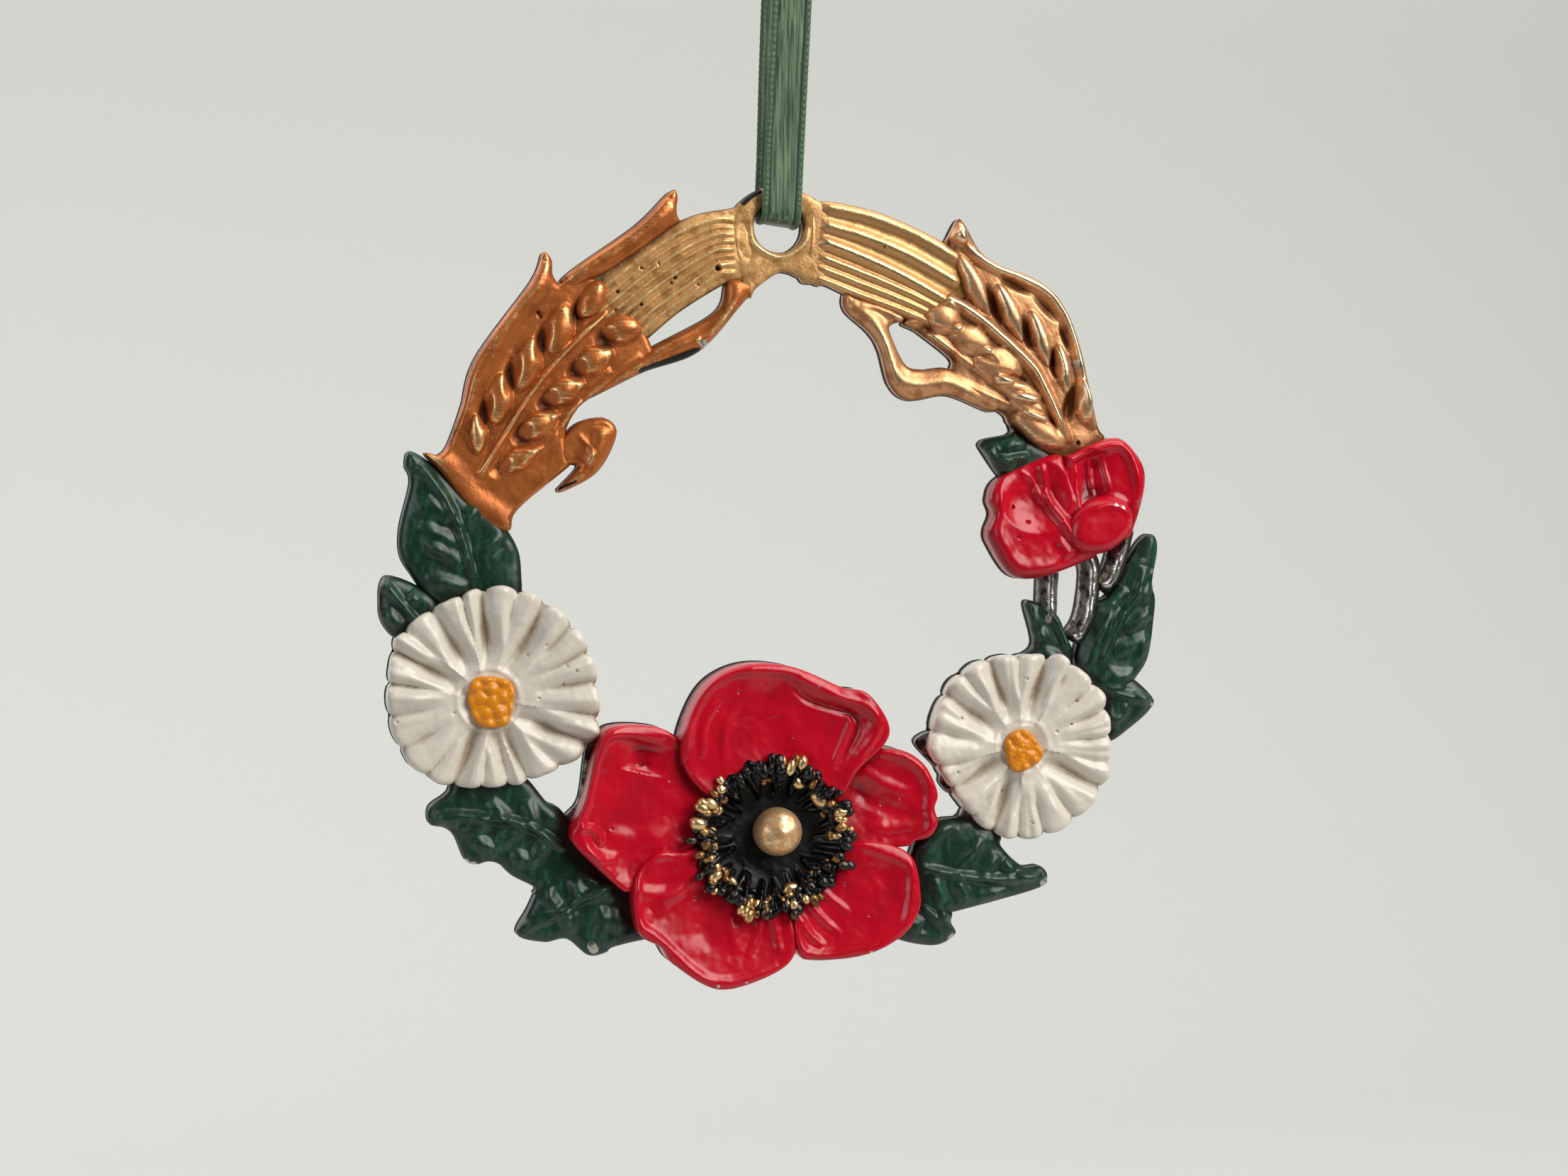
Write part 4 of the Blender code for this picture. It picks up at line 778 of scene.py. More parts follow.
def left_leaves():
    leaf("upper_left_leaf",
        [(-44.7, 17.2), (-45.3, 15.4), (-44.7, 13.4), (-46, 7.8), (-45.9, 4.3), (-44.3, 1.6, CORNER),
            (-42.7, -0.5), (-39.3, -2.7), (-34.2, -2.7), (-31.2, -1), (-30.9, 0.7, CORNER), (-31.4, 5.1),
            (-34, 9.1), (-37.7, 11.7), (-41.8, 15.5)], [(-43.6, 15.6), (-39.7, 9.8), (-37.1, 1.7)],
        [[(-39.9, 8.7), (-43.1, 11.7)], [(-38.8, 5.6), (-43.8, 8.2)],
            [(-38.2, 3), (-40.8, 4.8), (-43.2, 5.5)], [(-38.6, 7.8), (-36.7, 10.1), (-35.7, 10.6)],
            [(-37.3, 4.3), (-33.2, 7.2)], [(-43, 1.7), (-37.8, 0.4)]], 0,
        [((-43, 9.8), 4.5, 2.4, -60, 0.3), ((-42, 5.6), 4.5, 2.2, -40, 0.25),
            ((-35.2, 3.9), 6, 3, 60, 0.25)])
    leaf("small_left_leaf",
        [(-47.8, 1.9), (-48.5, -2.7), (-46.9, -5.5), (-44.7, -6.1), (-41.2, -4.8), (-41, -2.2),
            (-42.9, 0.2)], [(-48.2, 1.2), (-43.9, -3.9)],
        [[(-48.2, -2.3), (-45.9, -4.3)], [(-45.1, -0.4), (-43.7, -1.5)]], -0.05)
    leaf("lower_left_leaf",
        [(-42.5, -26.5), (-40.3, -24.8), (-39.2, -22.6), (-34, -21.8), (-30.6, -23.1), (-28, -26.1),
            (-26, -27.4), (-22.8, -32.4), (-20.2, -36), (-21.1, -38.6), (-26.4, -38.9), (-29.5, -37.8),
            (-29.4, -36.9), (-32.3, -35.3), (-33.8, -33.9), (-35.2, -33.5), (-36.8, -33.8),
            (-38.1, -33.2), (-39.3, -30.4), (-40.6, -29.2), (-42.5, -28.6)],
        [(-41.6, -27.4), (-33, -28.3), (-29.3, -29.7), (-25.8, -32.2)],
        [[(-33, -28.3), (-35.3, -25.7)], [(-29.3, -29.7), (-30.7, -25.8)],
            [(-35.3, -28.3), (-38.8, -29.9)], [(-30.9, -29.1), (-35.3, -32)],
            [(-27.8, -30.6), (-30.4, -34.3)]], 0,
        [((-36.2, -31.2), 5, 2.6, -40, 0.4), ((-40.3, -28.3), 4.2, 1.8, -15, 0.3),
            ((-31.3, -33.1), 3.4, 2.4, -40, 0.35), ((-27.8, -27.8), 5.0, 2.6, -50, 0.25)],
        [((-37.2, -33.9), 0.5), ((-38, -33.4), 0.35)])
    leaf("lowest_left_leaf",
        [(-30.2, -39.4), (-31.7, -42.6), (-28.3, -43.7), (-25.5, -43.4), (-22.8, -45.5), (-20.6, -45.3),
            (-19.5, -44.6), (-15.3, -43.8), (-13.5, -44.1), (-13.9, -40.6), (-17.3, -36.2), (-20.6, -34),
            (-25.1, -34), (-27.9, -35)], [(-30.9, -41.6), (-26.9, -40.1), (-22.9, -37.8), (-18.5, -36)],
        [[(-25.6, -39.5), (-25.2, -41.1), (-25.6, -42.6)],
            [(-22.5, -37.8), (-21.3, -40.7), (-21.6, -44.3)],
            [(-26.5, -39.8), (-27.8, -38.2), (-28.1, -36.6)], [(-23.8, -38.1), (-25.1, -35.6)],
            [(-24.5, -35.6), (-22, -36.4), (-20.1, -37.9)], [(-25.1, -37.7), (-19.5, -37.9)]], 0.1,
        [((-25.8, -40.7), 2.8, 2.4, 60, 0.35), ((-19.5, -41.2), 4, 3, -60, 0.3),
            ((-30.5, -41.6), 3.5, 2.2, 30, 0.2)], [((-22.2, -44.7), 0.5), ((-22.5, -44.2), 0.5)])


def right_leaves():
    leaf("lower_right_leaf",
        [(37.1, -37.6), (36.2, -36), (33.7, -35.9), (30.9, -33.3), (30.8, -31.9), (28.2, -29.9),
            (22.6, -29.7), (19.5, -32.5), (18.5, -37.4), (19.9, -42.5), (21.9, -42.2), (35.2, -39.1)],
        [(36, -37.3), (28.5, -37.3), (20, -35.7)],
        [[(24.2, -36.5), (27.9, -31.7)], [(27.9, -37.3), (30.1, -34.2)], [(24.2, -36.8), (26.3, -40.4)],
            [(21.4, -36.4), (22.8, -40.3)], [(32.4, -36.5), (30.8, -35.1)],
            [(20.4, -33.5), (22.3, -31.2), (24.6, -30.1)]], 0,
        [((27.3, -33.5), 5, 2.6, 55, 0.3), ((33.9, -36.7), 4, 2.2, -10, 0.3),
            ((29.4, -39.3), 5, 1.8, 12, 0.25)], [((36.5, -38.1), 0.55), ((36.9, -37.6), 0.35)])
    leaf("lowest_right_leaf",
        [(24.2, -41.3), (24.3, -42.9), (24.8, -44.5), (22, -45.8), (17, -44.8), (15.3, -42.8),
            (18.1, -39.3), (20.7, -39.4)], [(24.1, -44.3), (20, -40.3)],
        [[(20, -43.4), (18.1, -42.1)], [(23.3, -41.3), (22.1, -41.7)]], -0.05,
        [((23, -41.9), 3.4, 2.0, -60, 0.4), ((19.1, -44.1), 4.5, 2.2, -20, 0.2)], [((24.3, -44.9), 0.55)])
    leaf("upper_right_leaf",
        [(50.9, 6.7), (49, 5.1), (45.6, -0.8), (43.2, -2.7), (40.8, -9.1), (42.8, -12.8), (46.3, -15.5),
            (48.7, -12.4, CORNER), (50.7, -9), (51.6, -2.2), (51.2, 0.4), (51.9, 5.2)],
        [(49.9, 2.4), (48.3, -1.4), (46.2, -4.8), (44, -9.8)],
        [[(47.2, -0.1), (44, -3.2)], [(46.4, -2.8), (42.6, -7.1)], [(44.5, -4.8), (41.8, -10.7)],
            [(48.9, -2.1), (50.8, 0.4)], [(47.2, -5.8), (50.6, -3.2)], [(45.6, -8.7), (50.1, -6.5)],
            [(44.5, -11.4), (46.6, -11.7), (48.5, -11.3)], [(43.4, -13.2), (47.4, -13.3)]], 0,
        [((44.1, -4.8), 5, 2, 62, 0.3), ((49.5, -8.1), 4.5, 2, 60, 0.25)],
        [((49.6, 3.3), 0.3), ((50.9, 1.9), 0.3)])
    leaf("right_leaf_tip",
        [(51.3, -14.4), (50.9, -16.2), (47.5, -19), (45.6, -20.1), (44.5, -19.3), (43.8, -16),
            (44.7, -12.8), (47.5, -11.4)], [(50.5, -15), (45, -13.5)],
        [[(47.5, -14.5), (46.3, -17.5)], [(44.6, -16.7), (46.5, -17.7)]], -0.05,
        [((49.6, -14.2), 3.2, 1.6, -20, 0.35)], [((51.3, -15.1), 0.5)])
    leaf("middle_right_leaf",
        [(34.1, -2.2), (35.2, -7.3), (33.2, -9.1), (34, -10.8), (39, -11.6), (40.6, -8.9), (39.4, -6),
            (38.3, -3.6), (35.5, -2)], [(35.8, -2.5), (37.7, -4), (39.8, -8.4)],
        [[(35.2, -5.6), (36.3, -7)], [(34, -3.1), (35.2, -5.2)]], -0.1,
        [((36.9, -8.8), 4, 2.5, -20, 0.3)])
    leaf("small_right_leaf",
        [(28.3, 18.7), (28.6, 17), (32.6, 12.5), (36.9, 14.3), (37.9, 16.8), (33.1, 19.6), (32, 20.8),
            (32, 19.6)], [(28, 17.7), (29.5, 16.3), (34, 16.6)],
        [[(29.8, 17.4), (33.8, 18.6)], [(31.6, 16.3), (30.7, 14.5)], [(28.8, 18.1), (29.7, 16.6)]], -0.1,
        [((31.9, 19.3), 3, 1.5, 60, 0.2)])


left_leaves()
right_leaves()
print("leaves:", sum(p["paint"] == "leaf" for p in PIECES))

# %% [markdown]
# Three round stalks join the small poppy to the leaf below it, and thin webs of metal bridge the gaps
# between the flowers, as every casting needs some path for the metal. Nobody painted them. They show
# the blackened pewter, rubbed bright along the crests.

# %% Stems and webs
WEB_THICKNESS, STEM_THICKNESS = 1.3 * MM, 1.7 * MM
STEM_RADIUS, STEM_CROWN = 0.9 * MM, 0.5 * MM
STEM_RIM, WEB_RIM = (1.1, 1.2, 0.25), (0.3, 0.5, 0.12)


def stem(name, path):
    """A bare round stalk."""
    middle = curve(path, 0.25)
    side = sideways(middle) * STEM_RADIUS / UNIT
    edge = np.r_[middle + side, (middle - side)[::-1]]
    crown = ridge(path, 2 * STEM_RADIUS / UNIT, STEM_CROWN / UNIT, 0)
    cast(name, "pewter", edge, STEM_THICKNESS, [crown], *STEM_RIM)


def stems():
    stem("left_stem", [(37.3, 2.5), (37, -5.2)])
    stem("middle_stem", [(42.3, 4.3), (43, 1.5), (42.2, -4.1), (40.4, -7.1)])
    stem("right_stem", [(47.5, 7.5), (45.9, 1.7), (44.3, -0.5)])


def web(name, edge):
    """A thin flat bridge of bare metal."""
    cast(name, "pewter", outline(edge), WEB_THICKNESS, (), *WEB_RIM)


def webs():
    web("left_web",
        [(-22.8, -19.4), (-23.9, -26), (-25.9, -29), (-21.8, -32.5), (-19.1, -23.7), (-20.8, -18.4)])
    web("right_web",
        [(19.5, -19.7), (22.6, -23.4), (22.9, -25.1), (24.6, -26.5), (27.4, -24.7), (25, -21),
            (22.5, -18.3)])
    web("lower_right_web",
        [(22.4, -26.6), (22.1, -29.3), (25.1, -29.4), (26.6, -27.6), (29.8, -30.2), (27.9, -32.9),
            (23.3, -32.8), (20.9, -31.1)])


stems()
webs()
print("stems and webs:", sum(p["paint"] == "pewter" for p in PIECES))

# %% [markdown]
# A daisy has about twenty petals, and no two are alike. Each begins at its own angle and reaches its own
# distance, so the flower is one function of angle and radius: a groove where two petals meet, a rounded
# back between, a small tilt of its own, and a dip towards the heart, where a low white collar holds the
# dimpled yellow eye.

# %% Daisies
DAISY_THICKNESS, DAISY_EYE_HEIGHT = 2.8 * MM, 3.1 * MM
DAISY_RIM, DAISY_EYE_RIM = (0.7, 0.9, 0.12), (0.45, 0.5, 0.12)
DAISY_HEART, DAISY_SLOPE_END = 0.22, 0.52
DAISY_NOTCH, DAISY_TIP = 0.955, 0.998
DAISY_DISH = 0.35
DEEP_GROOVE, SHALLOW_GROOVE = (1.5, 1.25), (0.6, 0.7)
PETAL_TILT, PETAL_BACK, PETAL_RAISE = 1.0, 0.45, 0.3
SHALLOW_START, SHALLOW_END = 0.4, 0.75
PETAL_SWAY, CREASE = 2.0, (-0.3, 0.35)
EYE_POCKET, COLLAR_WIDTH = 0.12, 0.42


def daisy(name, middle, petals, deep, eye, eye_turn, collar, faults):
    """petals: where each begins, in degrees from the right, and how far it reaches. deep: where the
    deep grooves are. collar: the radius and height of the ring around the eye."""
    middle = np.array(middle)
    starts, reaches = np.array(petals, float).T
    spans = np.diff(np.r_[starts, starts[0] + 360])
    centres = starts + spans / 2
    chance = np.random.default_rng(len(petals))
    tilts = chance.uniform(-PETAL_TILT, PETAL_TILT, len(petals))
    creases = chance.uniform(*CREASE, len(petals))
    raises = PETAL_BACK + chance.uniform(-PETAL_RAISE, PETAL_RAISE, len(petals))
    near_deep = np.abs((starts[:, None] - deep + 180) % 360 - 180).min(1) < 9
    depths, widths = np.where(near_deep[:, None], DEEP_GROOVE, SHALLOW_GROOVE).T

    def reach(angle):
        return np.interp(angle % 360, np.r_[centres - 360, centres, centres + 360], np.tile(reaches, 3))

    def lift(spots):
        q = spots - middle
        far = np.hypot(q[:, 0], q[:, 1])
        angle = np.degrees(np.arctan2(q[:, 1], q[:, 0])) + PETAL_SWAY * unevenness(spots, 5.5)
        angle = angle % 360
        share = np.clip(far / reach(angle), 0, 1)
        petal = np.searchsorted(starts, angle, side="right") - 1
        across = ((angle - starts[petal]) % 360) / spans[petal]
        grooved = np.clip((share - DAISY_HEART) / (DAISY_SLOPE_END - DAISY_HEART), 0, 1) ** 0.7
        outer = np.clip((share - SHALLOW_START) / (SHALLOW_END - SHALLOW_START), 0, 1)
        valley = 0
        for side, gap in ((petal, across), ((petal + 1) % len(starts), 1 - across)):
            off = far * np.radians(gap * spans[petal]) / widths[side]
            reached = np.where(near_deep[side], grooved, outer)
            valley = np.maximum(valley, depths[side] * reached * np.exp(-off**2))
        valley = valley * (1 - 0.5 * np.clip((share - 0.6) / 0.4, 0, 1))
        crease = -creases[petal] * np.exp(-((across - 0.45) / 0.14) ** 2)
        back = raises[petal] * np.sin(math.pi * across) ** 0.7
        back += tilts[petal] * (across - 0.5) * np.sin(math.pi * across) ** 0.5
        ring = collar[1] * np.exp(-((far - collar[0]) / COLLAR_WIDTH) ** 2)
        dip = (1 - np.clip(share / DAISY_SLOPE_END, 0, 1)) ** 0.8
        pocket = EYE_POCKET * np.clip(1 - (far / collar[0]) ** 8, 0, 1)
        return outer * (back + crease) - valley - DAISY_DISH * dip + ring - pocket

    turns = np.arange(0, 1, 0.06)
    angles = (starts[:, None] + turns * spans[:, None]).ravel()
    shape = np.tile(DAISY_NOTCH + (DAISY_TIP - DAISY_NOTCH) * np.sin(math.pi * turns) ** 0.5, len(starts))
    t = np.radians(angles)
    edge = middle + (reach(angles) * shape)[:, None] * np.c_[np.cos(t), np.sin(t)]
    cast(name, "white", edge, DAISY_THICKNESS, [lift] + pits(faults, 0.2, 0.35), *DAISY_RIM)
    edge = outline(eye, 0.15)
    middle = edge.mean(0)
    radius = np.linalg.norm(edge - middle, axis=1).mean()
    beads = [mound(middle, 2.0, 1.8, 0, 0.35, 0.8)]
    for far, size, count in ((0.5, 1.9, 5), (0.92, 1.7, 9)):
        for turn in np.radians(eye_turn + np.arange(count) * 360 / count):
            place = middle + far * radius * np.array([math.cos(turn), math.sin(turn)])
            beads.append(mound(place, size, 0.85 * size, 0, 0.4, 0.8))
    cast(name + "_eye", "yellow", edge, DAISY_EYE_HEIGHT, beads, *DAISY_EYE_RIM)


def daisies():
    daisy("left_daisy", (-35.4, -13.3),
        [(7, 14.0), (24, 14.1), (40, 14.1), (58, 14.1), (74, 14.2), (91, 13.7), (104, 13.2), (122, 13.4),
            (140, 13.7), (152, 12.7), (170, 12.4), (189, 12.4), (209, 12.5), (230, 12.0), (248, 11.1),
            (265, 10.9), (283, 11.3), (297, 11.8), (317, 13.4), (334, 14.5), (349, 13.9)],
        [62, 94, 122, 153, 248, 290, 335],
        [(-36.8, -10.5), (-32.6, -11.2), (-32.6, -15), (-33.6, -16.6), (-36.7, -16.3), (-38, -12.9)], 20,
        (3.8, 0.2),
        [(-28.3, -6.6), (-30.5, -7.9), (-25.7, -9.3), (-26.1, -11.5), (-24.6, -9.8), (-39.7, -14.8),
            (-46.6, -15.9), (-29.2, -13.2)])
    daisy("right_daisy", (33, -20.3),
        [(6, 12.3), (22, 12.9), (39, 12.6), (57, 12.9), (73, 11.8), (92, 11.8), (110, 12.2), (129, 12.3),
            (146, 12.0), (170, 12.2), (192, 10.8), (210, 10.7), (235, 11.5), (252, 12.0), (268, 12.1),
            (286, 12.2), (307, 12.3), (333, 12.7), (349, 12.2)], [72, 109, 146, 205, 253, 295, 334],
        [(30.7, -20), (31.7, -18.5), (33.6, -18.3), (35.6, -20.8), (35.2, -22.3), (31.9, -23.5)], 40,
        (3.4, 0.12),
        [(33.6, -11.7), (30.6, -26.1), (40.4, -14.7), (39.6, -17.6), (25, -16.6), (34.3, -30.1),
            (37.7, -18.5), (24.5, -23.5)])


daisies()
print("daisies:", [p["name"] for p in PIECES if p["paint"] == "white"])

# %% [markdown]
# The large poppy has five broad petals around its heart. Each one is cupped: low beside the heart and
# rising to a rolled rim. The top petal folds over at the right, and the others overlap like roof tiles,
# so each is given a layer, which is how many petals it lies over.

# %% Large poppy
PETAL_EDGE = (0.75, 0.8, 0.1)
PETAL_THICKNESS, PETAL_OVERLAP = 2.5 * MM, 0.35 * MM
POPPY = (0.1, -31.1)
PETAL_CUP, CUP_START, CUP_END = 1.3, 9.5, 22.0
HEART_DIP = 3.5
PETAL_RIM, PETAL_RIM_WIDTH = 0.32, 1.9
PETAL_CURL = 0.95
PETAL_SWELL = 0.2


def petal(name, edge, rim, layer, folds=(), faults=(), chips=()):
    """A petal that rises outwards to a rolled rim; a fold is a path, a width and a height."""
    def cup(spots):
        out = np.linalg.norm(spots - POPPY, axis=1)
        rise = np.clip((out - CUP_START) / (CUP_END - CUP_START), 0, 1.2) ** 2
        swell = PETAL_SWELL * unevenness(spots, 4.2)
        return PETAL_CUP * rise + swell - HEART_DIP * np.clip(1 - (out / CUP_START) ** 4, 0, 1)

    carving = [cup, ridge(rim, PETAL_RIM_WIDTH, PETAL_RIM, 0.12)]
    carving += [ridge(path, 1.3 * width, height, 0.25) for path, width, height in folds]
    carving += pits(faults, 0.18, 0.3)
    cast(name, "red", outline(edge), PETAL_THICKNESS + layer * PETAL_OVERLAP, carving, *PETAL_EDGE,
         chips=chips, curl=PETAL_CURL)


def poppy_sides():
    """The two petals that the others lie over."""
    petal("poppy_left_petal",
        [(-20.5, -16.9), (-14.9, -16.9), (-11.5, -18.6), (-7.9, -21.9), (-7, -26.4), (-8.8, -31.6),
            (-13.3, -33.7), (-16.4, -36.3), (-18.2, -37.4), (-20, -36.3), (-24.7, -31.7), (-25.4, -29.5),
            (-23.7, -25.6), (-22.3, -19.8)],
        [(-13.5, -18.3), (-20.2, -17.8), (-22.2, -20), (-23.6, -26), (-24.4, -28.6), (-22.9, -32.2),
            (-19.7, -35.3)], 0,
        [([(-24.4, -29), (-22.4, -29.7), (-21.5, -31.5)], 1.4, 0.5),
            ([(-24, -31.7), (-21.8, -32.9), (-19.6, -33.3)], 1.6, 0.4),
            ([(-15.6, -18.9), (-16.5, -22.6)], 5.5, -0.9), ([(-20.9, -30.4), (-13.3, -31.1)], 3.0, 0.3)],
        [(-20.3, -29.4), (-16.4, -21.7), (-12.8, -23.6)])
    petal("poppy_right_petal",
        [(10.6, -20.9), (15.8, -20.2), (19.5, -22), (21.5, -25.7), (21.2, -27.9), (21.6, -29.7),
            (20.7, -31.5), (18.7, -32.1), (17.6, -32.7), (10.4, -32.6), (8.3, -28.1), (8.7, -23.6)],
        [(14, -20.6), (17, -21.3), (19.1, -22.9), (20.3, -25.2), (20.2, -27.9), (20.4, -30.2),
            (18.7, -31.5)], 0,
        [([(9.9, -24.1), (14, -27.3), (18.7, -28.8)], 2.6, -0.35),
            ([(11.7, -22.8), (14.5, -24.6), (18.2, -25.9)], 2.0, 0.3),
            ([(12.6, -30), (16.1, -30.3), (19.6, -29.7)], 1.8, 0.35)], [(14.5, -27.3), (16.8, -26.5)],
        [((19.6, -21.8), 0.2)])


def poppy_front():
    """The petals in front: two below, and the top one over them all."""
    petal("poppy_low_left_petal",
        [(-11.5, -32.5), (-14.7, -32.7), (-17.6, -36), (-17.4, -41.3), (-16.4, -43.1), (-14.2, -44.4),
            (-12.4, -46.7), (-6.7, -49.9), (0.3, -48.2), (3.2, -45.4), (2.6, -40.9), (-0.5, -35.5),
            (-6.2, -32.1)],
        [(-12.6, -32.8), (-15.5, -33.1), (-17.1, -34.8), (-17.1, -40.7), (-14.7, -43), (-9.7, -47.6),
            (-6.6, -48.8), (-2.9, -48.4), (0.7, -46.9)], 1,
        [([(-17.5, -36.9), (-14.7, -37.9), (-11.1, -37.3)], 2.4, 0.35),
            ([(-0.2, -38.3), (1, -45.7)], 1.3, 0.4),
            ([(-1.7, -39), (-1.6, -42.5), (-2.9, -46.1)], 1.2, 0.25),
            ([(-7.9, -36.1), (-8.8, -40.5), (-7.9, -45)], 3.5, -0.25),
            ([(-9.3, -34.7), (-12.4, -37.9), (-15.1, -39.9)], 2.4, 0.3),
            ([(-5.2, -37.8), (-5.2, -41.5), (-4.3, -45.6)], 1.6, 0.22)], [(-2.1, -41.9), (-9.7, -38.5)],
        [((-7, -49.4), 0.2), ((-3.4, -49.1), 0.15)])
    petal("poppy_low_right_petal",
        [(3, -38.8), (3.3, -45.3), (5.4, -46.7), (11.8, -46.2), (16.2, -44.3), (18.4, -41.9),
            (19.2, -38.9), (17.9, -33.7), (12.8, -31.8), (8.7, -32.6), (5, -35.2)],
        [(2.8, -39.1), (3.7, -44.9), (8.5, -45.8), (15.4, -43.2), (17.4, -41.2), (17.9, -36.1),
            (16.6, -34.3), (11.7, -32.4)], 1.3,
        [([(3.2, -40.5), (4.8, -43.2), (6.7, -45)], 1.4, 0.4),
            ([(4.1, -38.4), (6.5, -41.4), (9, -43.6)], 1.3, 0.3),
            ([(5.7, -37.2), (10.2, -41.1)], 1.3, 0.22),
            ([(12.7, -34.5), (15, -36.8), (15.4, -40.4)], 2.6, -0.2)], [(12.7, -41.2), (9.6, -37.3)],
        [((12.7, -45.8), 0.2)])
    petal("poppy_top_petal",
        [(-11.6, -18.8), (-8.8, -12.3), (-3.9, -9.4), (2.3, -9.6), (8.9, -12.3), (12.1, -13.1),
            (14.8, -16.8), (14.5, -19.5), (11, -23), (9.3, -25.8), (6.7, -27.2), (0.1, -25.2),
            (-6.6, -27.3), (-7.1, -26.7), (-10.6, -23.1)],
        [(-11.3, -21), (-10.9, -15.7), (-8.8, -12.3), (-4.8, -10.2), (1.6, -10.5), (8.5, -13.3),
            (11.5, -14.3), (13.3, -16.1), (13.3, -18.3), (9.6, -23)], 2,
        [([(2.2, -11.6), (4.6, -13.9), (10.9, -16.6), (8.4, -22.7)], 1.3, -0.45),
            ([(2.9, -11), (5.7, -12.8), (12.3, -15.4), (12.5, -18.3), (10.7, -21)], 1.8, 0.4),
            ([(9.1, -15.8), (9.9, -16.7), (7.7, -22)], 0.8, 0.35),
            ([(-6.9, -13.5), (-8.7, -16.6), (-8.9, -21)], 1.5, 0.3),
            ([(-4.2, -14), (-6, -17.1), (-6.2, -21.5)], 1.4, 0.26),
            ([(-9.3, -13.5), (-10.7, -17.4), (-10.2, -21.8)], 1.5, 0.22),
            ([(0.2, -15.8), (1.1, -19.4), (0.2, -22.9)], 4.0, -0.2)],
        [(-4.3, -12.7), (2.9, -18.5), (-7, -14.8), (-10.2, -22.7)], [((5.7, -12.1), 0.15)])


poppy_sides()
poppy_front()
print("petals of the large poppy:", sum(p["paint"] == "red" for p in PIECES))

# %% [markdown]
# The poppy's heart is a black ring of stamens around a dish. Each stamen is a thin filament that climbs
# out of the dish and ends in a bead, touched with brass paint. In the middle a pale gold dome sits in a
# dark collar. The filaments are carved in the ring. The beads are small lumps of their own, because they
# stand clear of it and a sheet of heights can't go under itself.

# %% Heart of the poppy
STAMENS_HEIGHT, STIGMA_HEIGHT = 3.75 * MM, 4.8 * MM
STAMENS_OUTER, STAMENS_RIPPLE = 9.7, 0.4
STAMENS_DISH, STAMENS_DISH_RADIUS = 2.6, 8.8
STIGMA_RADIUS = 3.05
DOME = (0.9, -30.4)
BEAD_PIXEL = 0.0889
# each bead: degrees from the right, pixels from the middle, its size in pixels and how gilded it is
BEADS = [(8, 100, 9, 0.9), (20, 103, 10, 1), (38, 86, 15, 1), (29, 96, 8, 0.8), (52, 96, 8, 0.7),
    (64, 85, 13, 1), (58, 104, 7, 0.5), (80, 94, 9, 0.3), (84, 78, 8, 0.7), (92, 98, 8, 0.2),
    (102, 94, 8, 0.5), (98, 80, 7, 0.8), (120, 92, 9, 0.4), (112, 104, 7, 0.3), (132, 104, 8, 0.2),
    (142, 94, 10, 0.7), (153, 114, 10, 1), (158, 104, 8, 0.8), (168, 112, 13, 1), (173, 100, 9, 0.8),
    (180, 118, 8, 0.5), (184, 98, 10, 0.6), (196, 97, 9, 0.8), (191, 108, 8, 0.7), (205, 117, 9, 0.5),
    (211, 98, 10, 1), (216, 116, 8, 1), (224, 104, 9, 0.1), (232, 102, 9, 0.1), (240, 99, 9, 0.1),
    (248, 110, 9, 0.9), (256, 96, 8, 0.9), (252, 104, 7, 0.6), (267, 90, 8, 0.7), (279, 92, 8, 0.7),
    (287, 99, 9, 1), (291, 78, 11, 1), (298, 99, 9, 1), (308, 86, 9, 0.8), (318, 80, 8, 0.8),
    (322, 104, 10, 0.1), (330, 92, 8, 0.4), (340, 118, 9, 0.1), (344, 100, 9, 0.4), (352, 106, 9, 0.1),
    (2, 108, 8, 0.2)]


def on_heart(angle, far):
    """A place on the face, in degrees from the right and hundredths from the poppy's middle."""
    return POPPY + far * np.array([math.cos(math.radians(angle)), math.sin(math.radians(angle))])


def heart_height(spots):
    """The dish's slope, without the filaments."""
    out = np.linalg.norm(spots - POPPY, axis=1)
    return STAMENS_DISH * (np.clip(out / STAMENS_DISH_RADIUS, 0, 1) ** 4 - 1)


def poppy_heart():
    turn = np.radians(np.arange(0, 360, 1.25))
    ripple = STAMENS_RIPPLE * np.cos(20 * turn) + 0.3 * np.sin(7 * turn + 1)
    edge = POPPY + (STAMENS_OUTER + ripple)[:, None] * np.c_[np.cos(turn), np.sin(turn)]
    filaments = []
    chance = np.random.default_rng(11)
    for angle in range(4, 364, 11):
        sway = chance.uniform(-9, 9)
        path = [on_heart(angle + sway, chance.uniform(4.6, 6.0)), on_heart(angle + 0.4 * sway, 7.2),
                on_heart(angle, chance.uniform(8.6, 9.8))]
        filaments.append(ridge(path, 1.0, chance.uniform(0.6, 1.2), 0.3, 1.7))
    cast("poppy_stamens", "black", edge, STAMENS_HEIGHT, [heart_height] + filaments, 0.7, 0.6, 0.16)
    dome = ellipse(DOME, 2 * STIGMA_RADIUS, 2 * STIGMA_RADIUS)
    facets = []
    for turn in np.arange(0, 6.2, 1.05):
        place = DOME + 0.45 * np.array([math.cos(turn), math.sin(turn)]) * STIGMA_RADIUS
        facets.append(mound(place, 2.2, 1.8, 40 * turn, -0.12, 1))
    cast("poppy_dome", "gilt", dome, STIGMA_HEIGHT, facets, 2.6, STIGMA_RADIUS - 0.1, 0.03)


poppy_heart()
print("the heart's pieces:", [p["name"] for p in PIECES[-2:]])

# %% [markdown]
# The small poppy is seen from its side: one petal turned back at the left, a cup of petals at the right
# and the round end of its stalk in front of them.

